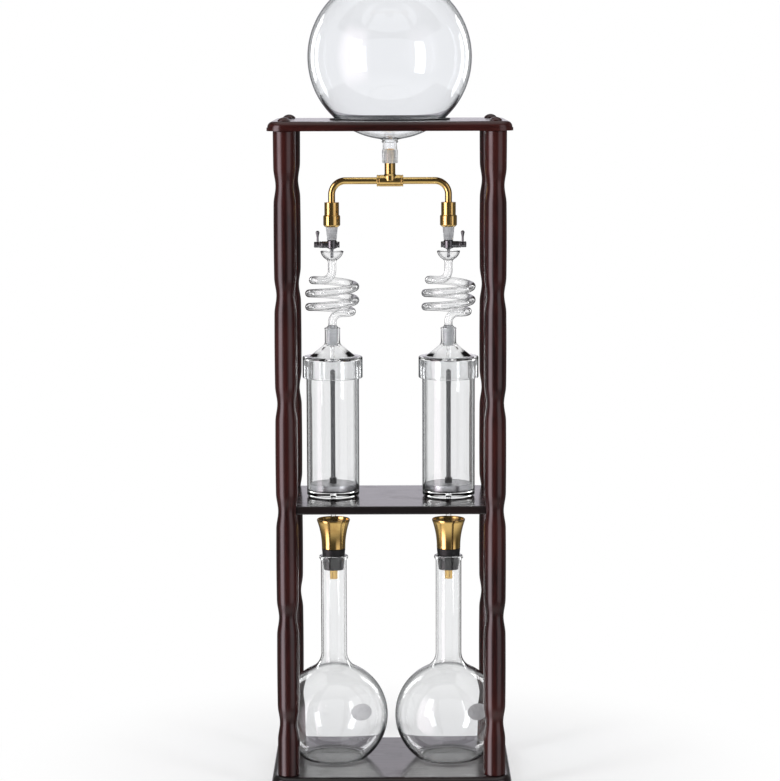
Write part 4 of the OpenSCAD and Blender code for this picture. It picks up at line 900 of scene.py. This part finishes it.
# plain oval writing patch on each bulb, laid against the glass
patchLook = {"width": 16.0, "height": 11.0, "turn": 33.0, "up": 17.0, "thick": 0.12, "lift": 0.12}
for side, k in sides.items():
    q, bulb = patchLook, flaskLook["bulb"]
    flask = bpy.data.objects["roundFlask" + side.title()]
    middle = sqrt(bulb ** 2 - flaskLook["foot"] ** 2)
    level = asin(q["up"] / bulb)
    out = Vector((sin(radians(q["turn"])) * cos(level), -cos(radians(q["turn"])) * cos(level), sin(level)))
    spot = (Vector((k * armLook["stack"], 0, bottomOf("flask_" + side) + middle)) + out * (bulb + 1)) / 1000
    deselect()
    bpy.ops.mesh.primitive_circle_add(vertices=56, radius=1, fill_type="NGON", location=spot,
                                      rotation=out.to_track_quat("Z", "Y").to_euler(), scale=(1, 1, 1))
    patch = bpy.context.object
    patch.scale = (q["width"] / 1000, q["height"] / 1000, 1)
    bpy.ops.object.transform_apply(location=True, rotation=True, scale=True)
    bpy.ops.object.mode_set(mode="EDIT")
    bpy.ops.mesh.select_all(action="SELECT")
    for step in range(5):
        bpy.ops.mesh.inset(thickness=0.0019)
    bpy.ops.object.mode_set(mode="OBJECT")
    wrap = patch.modifiers.new("lay", "SHRINKWRAP")
    wrap.target, wrap.wrap_method, wrap.offset = flask, "NEAREST_SURFACEPOINT", q["lift"] / 1000
    wrap.wrap_mode = "ABOVE_SURFACE"
    bpy.ops.object.modifier_apply(modifier="lay")
    coat = patch.modifiers.new("coat", "SOLIDIFY")
    coat.thickness, coat.offset = q["thick"] / 1000, 0
    bpy.ops.object.modifier_apply(modifier="coat")
    settle(patch, "writingPatch" + side.title(), "enamel", "flask_" + side)
print("writing patches laid")


# floor, backdrop light, lamps and camera
stageLook = {"floor": 1.6, "pale": (0.86, 0.86, 0.87), "shadow": 0.45, "fadeFrom": 0.20, "fadeTo": 0.55,
             "ambient": 0.55, "gloom": 0.07, "ceiling": 0.75, "ring": 0.12, "mirrorFloor": 0.85}
# what polished faces mirror: turn and height of each soft box in degrees, its half sizes, soft edge and light
softBoxes = [(-54, 2, 9, 22, 20, (4.4, 3.8, 4.1)), (48, 10, 12, 19, 18, (1.0, 0.95, 1.0)),
             (180, 10, 8, 10, 7, (0.78, 0.75, 0.82))]


def paleFloor():
    # pale near the tower, where it keeps the shadow, and plain white further out
    f = Finish("paleFloor")
    split = f.tree.nodes.new("ShaderNodeSeparateXYZ")
    f.put(split, "Vector", f.place((1, 1, 1)))
    x, y = Wire(f, split.outputs[0]), Wire(f, split.outputs[1])
    far = f.smooth(f.maths("SQRT", x * x + y * y, 0), stageLook["fadeFrom"], stageLook["fadeTo"])
    seen = f.clamped(f.node("LightPath", out=0) + f.node("LightPath", out=3) + f.node("LightPath", out=6))
    white = f.node("Emission", {}, {"Color": (1, 1, 1, 1), "Strength": 1.0})
    plain = f.node("BsdfDiffuse", {}, {"Color": (*stageLook["pale"], 1), "Roughness": 0.6})
    share = seen * (far * stageLook["shadow"] + (1 - stageLook["shadow"]))
    return f.done(f.node("MixShader", {}, {0: share, 1: plain, 2: white}))


deselect()
bpy.ops.mesh.primitive_circle_add(vertices=96, radius=stageLook["floor"], fill_type="NGON", location=(0, 0, 0))
floor = bpy.context.object
floor.name = "paleFloor"
floor.data.materials.append(paleFloor())
floor.visible_glossy = False  # polished faces mirror the studio world's lower half; glass still shows the floor

world = bpy.data.worlds.new("studio")
bpy.context.scene.world = world
world.use_nodes = True
w = Finish("studio", world.node_tree)
split = w.tree.nodes.new("ShaderNodeSeparateXYZ")
w.put(split, "Vector", w.node("TexCoord", out=0))
x, y, z = (Wire(w, split.outputs[i]) for i in range(3))
rise = w.maths("ARCSINE", z, 0)
room = w.blend(w.smooth(rise, radians(35), radians(70)), (stageLook["gloom"],) * 3, (stageLook["ceiling"],) * 3)
backward = w.smooth(y, 0.0, 0.5) * (1 - w.smooth(rise, radians(18), radians(32)))
room = w.blend(backward, room, (stageLook["ring"],) * 3)
room = w.blend(w.smooth(rise * -1, radians(18), radians(42)), room, (stageLook["mirrorFloor"],) * 3)
for turn, height, wide, tall, soft, light in softBoxes:
    # angle round from the middle of the box, which needs no care where the circle closes
    across = x * cos(radians(turn)) + y * sin(radians(turn))
    along = x * sin(radians(turn)) - y * cos(radians(turn))
    round_ = w.maths("ABSOLUTE", w.maths("ARCTAN2", across, along), 0)
    over = w.maths("ABSOLUTE", rise - radians(height), 0)
    patch = ((1 - w.smooth(round_, radians(wide), radians(wide + soft)))
             * (1 - w.smooth(over, radians(tall), radians(tall + soft))))
    room = w.blend(patch, room, light)
mirrored = w.node("LightPath", out=3)
direct = w.clamped(w.node("LightPath", out=0) + w.node("LightPath", out=6))
light = w.blend(mirrored, (stageLook["ambient"],) * 3, room)
light = w.blend(direct, light, (1.0, 1.0, 1.0))
back = w.node("Background", {}, {"Color": light, "Strength": 1.0})
w.node("OutputWorld", {}, {"Surface": back})

lamps = [("keySoftbox", -48, 2.0, 0.95, 0.55, 1.5, 20), ("fillSoftbox", 42, 2.2, 1.0, 0.5, 1.4, 13),
         ("backSoftboxLeft", -140, 2.4, 1.1, 0.5, 1.4, 10), ("backSoftboxRight", 140, 2.4, 1.1, 0.5, 1.4, 10)]
aim = Vector((0, 0, 0.52))
for name, turn, away, up, wide, tall, power in lamps:
    spot = Vector((away * sin(radians(turn)), -away * cos(radians(turn)), up))
    deselect()
    bpy.ops.object.light_add(type="AREA", location=spot,
                             rotation=(aim - spot).to_track_quat("-Z", "Y").to_euler())
    lamp = bpy.context.object
    lamp.name, lamp.data.shape, lamp.data.energy = name, "RECTANGLE", power
    lamp.data.size, lamp.data.size_y = wide, tall
    lamp.visible_glossy = False  # the soft boxes of the studio world stand for it in reflections
print("stage lit")

cameraLook = {"away": 3.391, "up": 0.933, "aside": -0.0008, "tilt": 7.17, "roll": 0.17, "focal": 2638,
              "frame": 781}
c = cameraLook
bpy.ops.object.camera_add(location=(c["aside"], -c["away"], c["up"]))
camera = bpy.context.object
camera.rotation_mode = "QUATERNION"
camera.rotation_quaternion = (Matrix.Rotation(radians(90 - c["tilt"]), 3, "X")
                              @ Matrix.Rotation(radians(-c["roll"]), 3, "Z")).to_quaternion()
camera.data.lens, camera.data.sensor_width = 36 * c["focal"] / c["frame"], 36
camera.data.clip_start, camera.data.clip_end = 0.05, 60
scene = bpy.context.scene
scene.camera = camera
scene.view_settings.view_transform = "Standard"
scene.cycles.max_bounces, scene.cycles.transmission_bounces, scene.cycles.transparent_max_bounces = 24, 24, 32
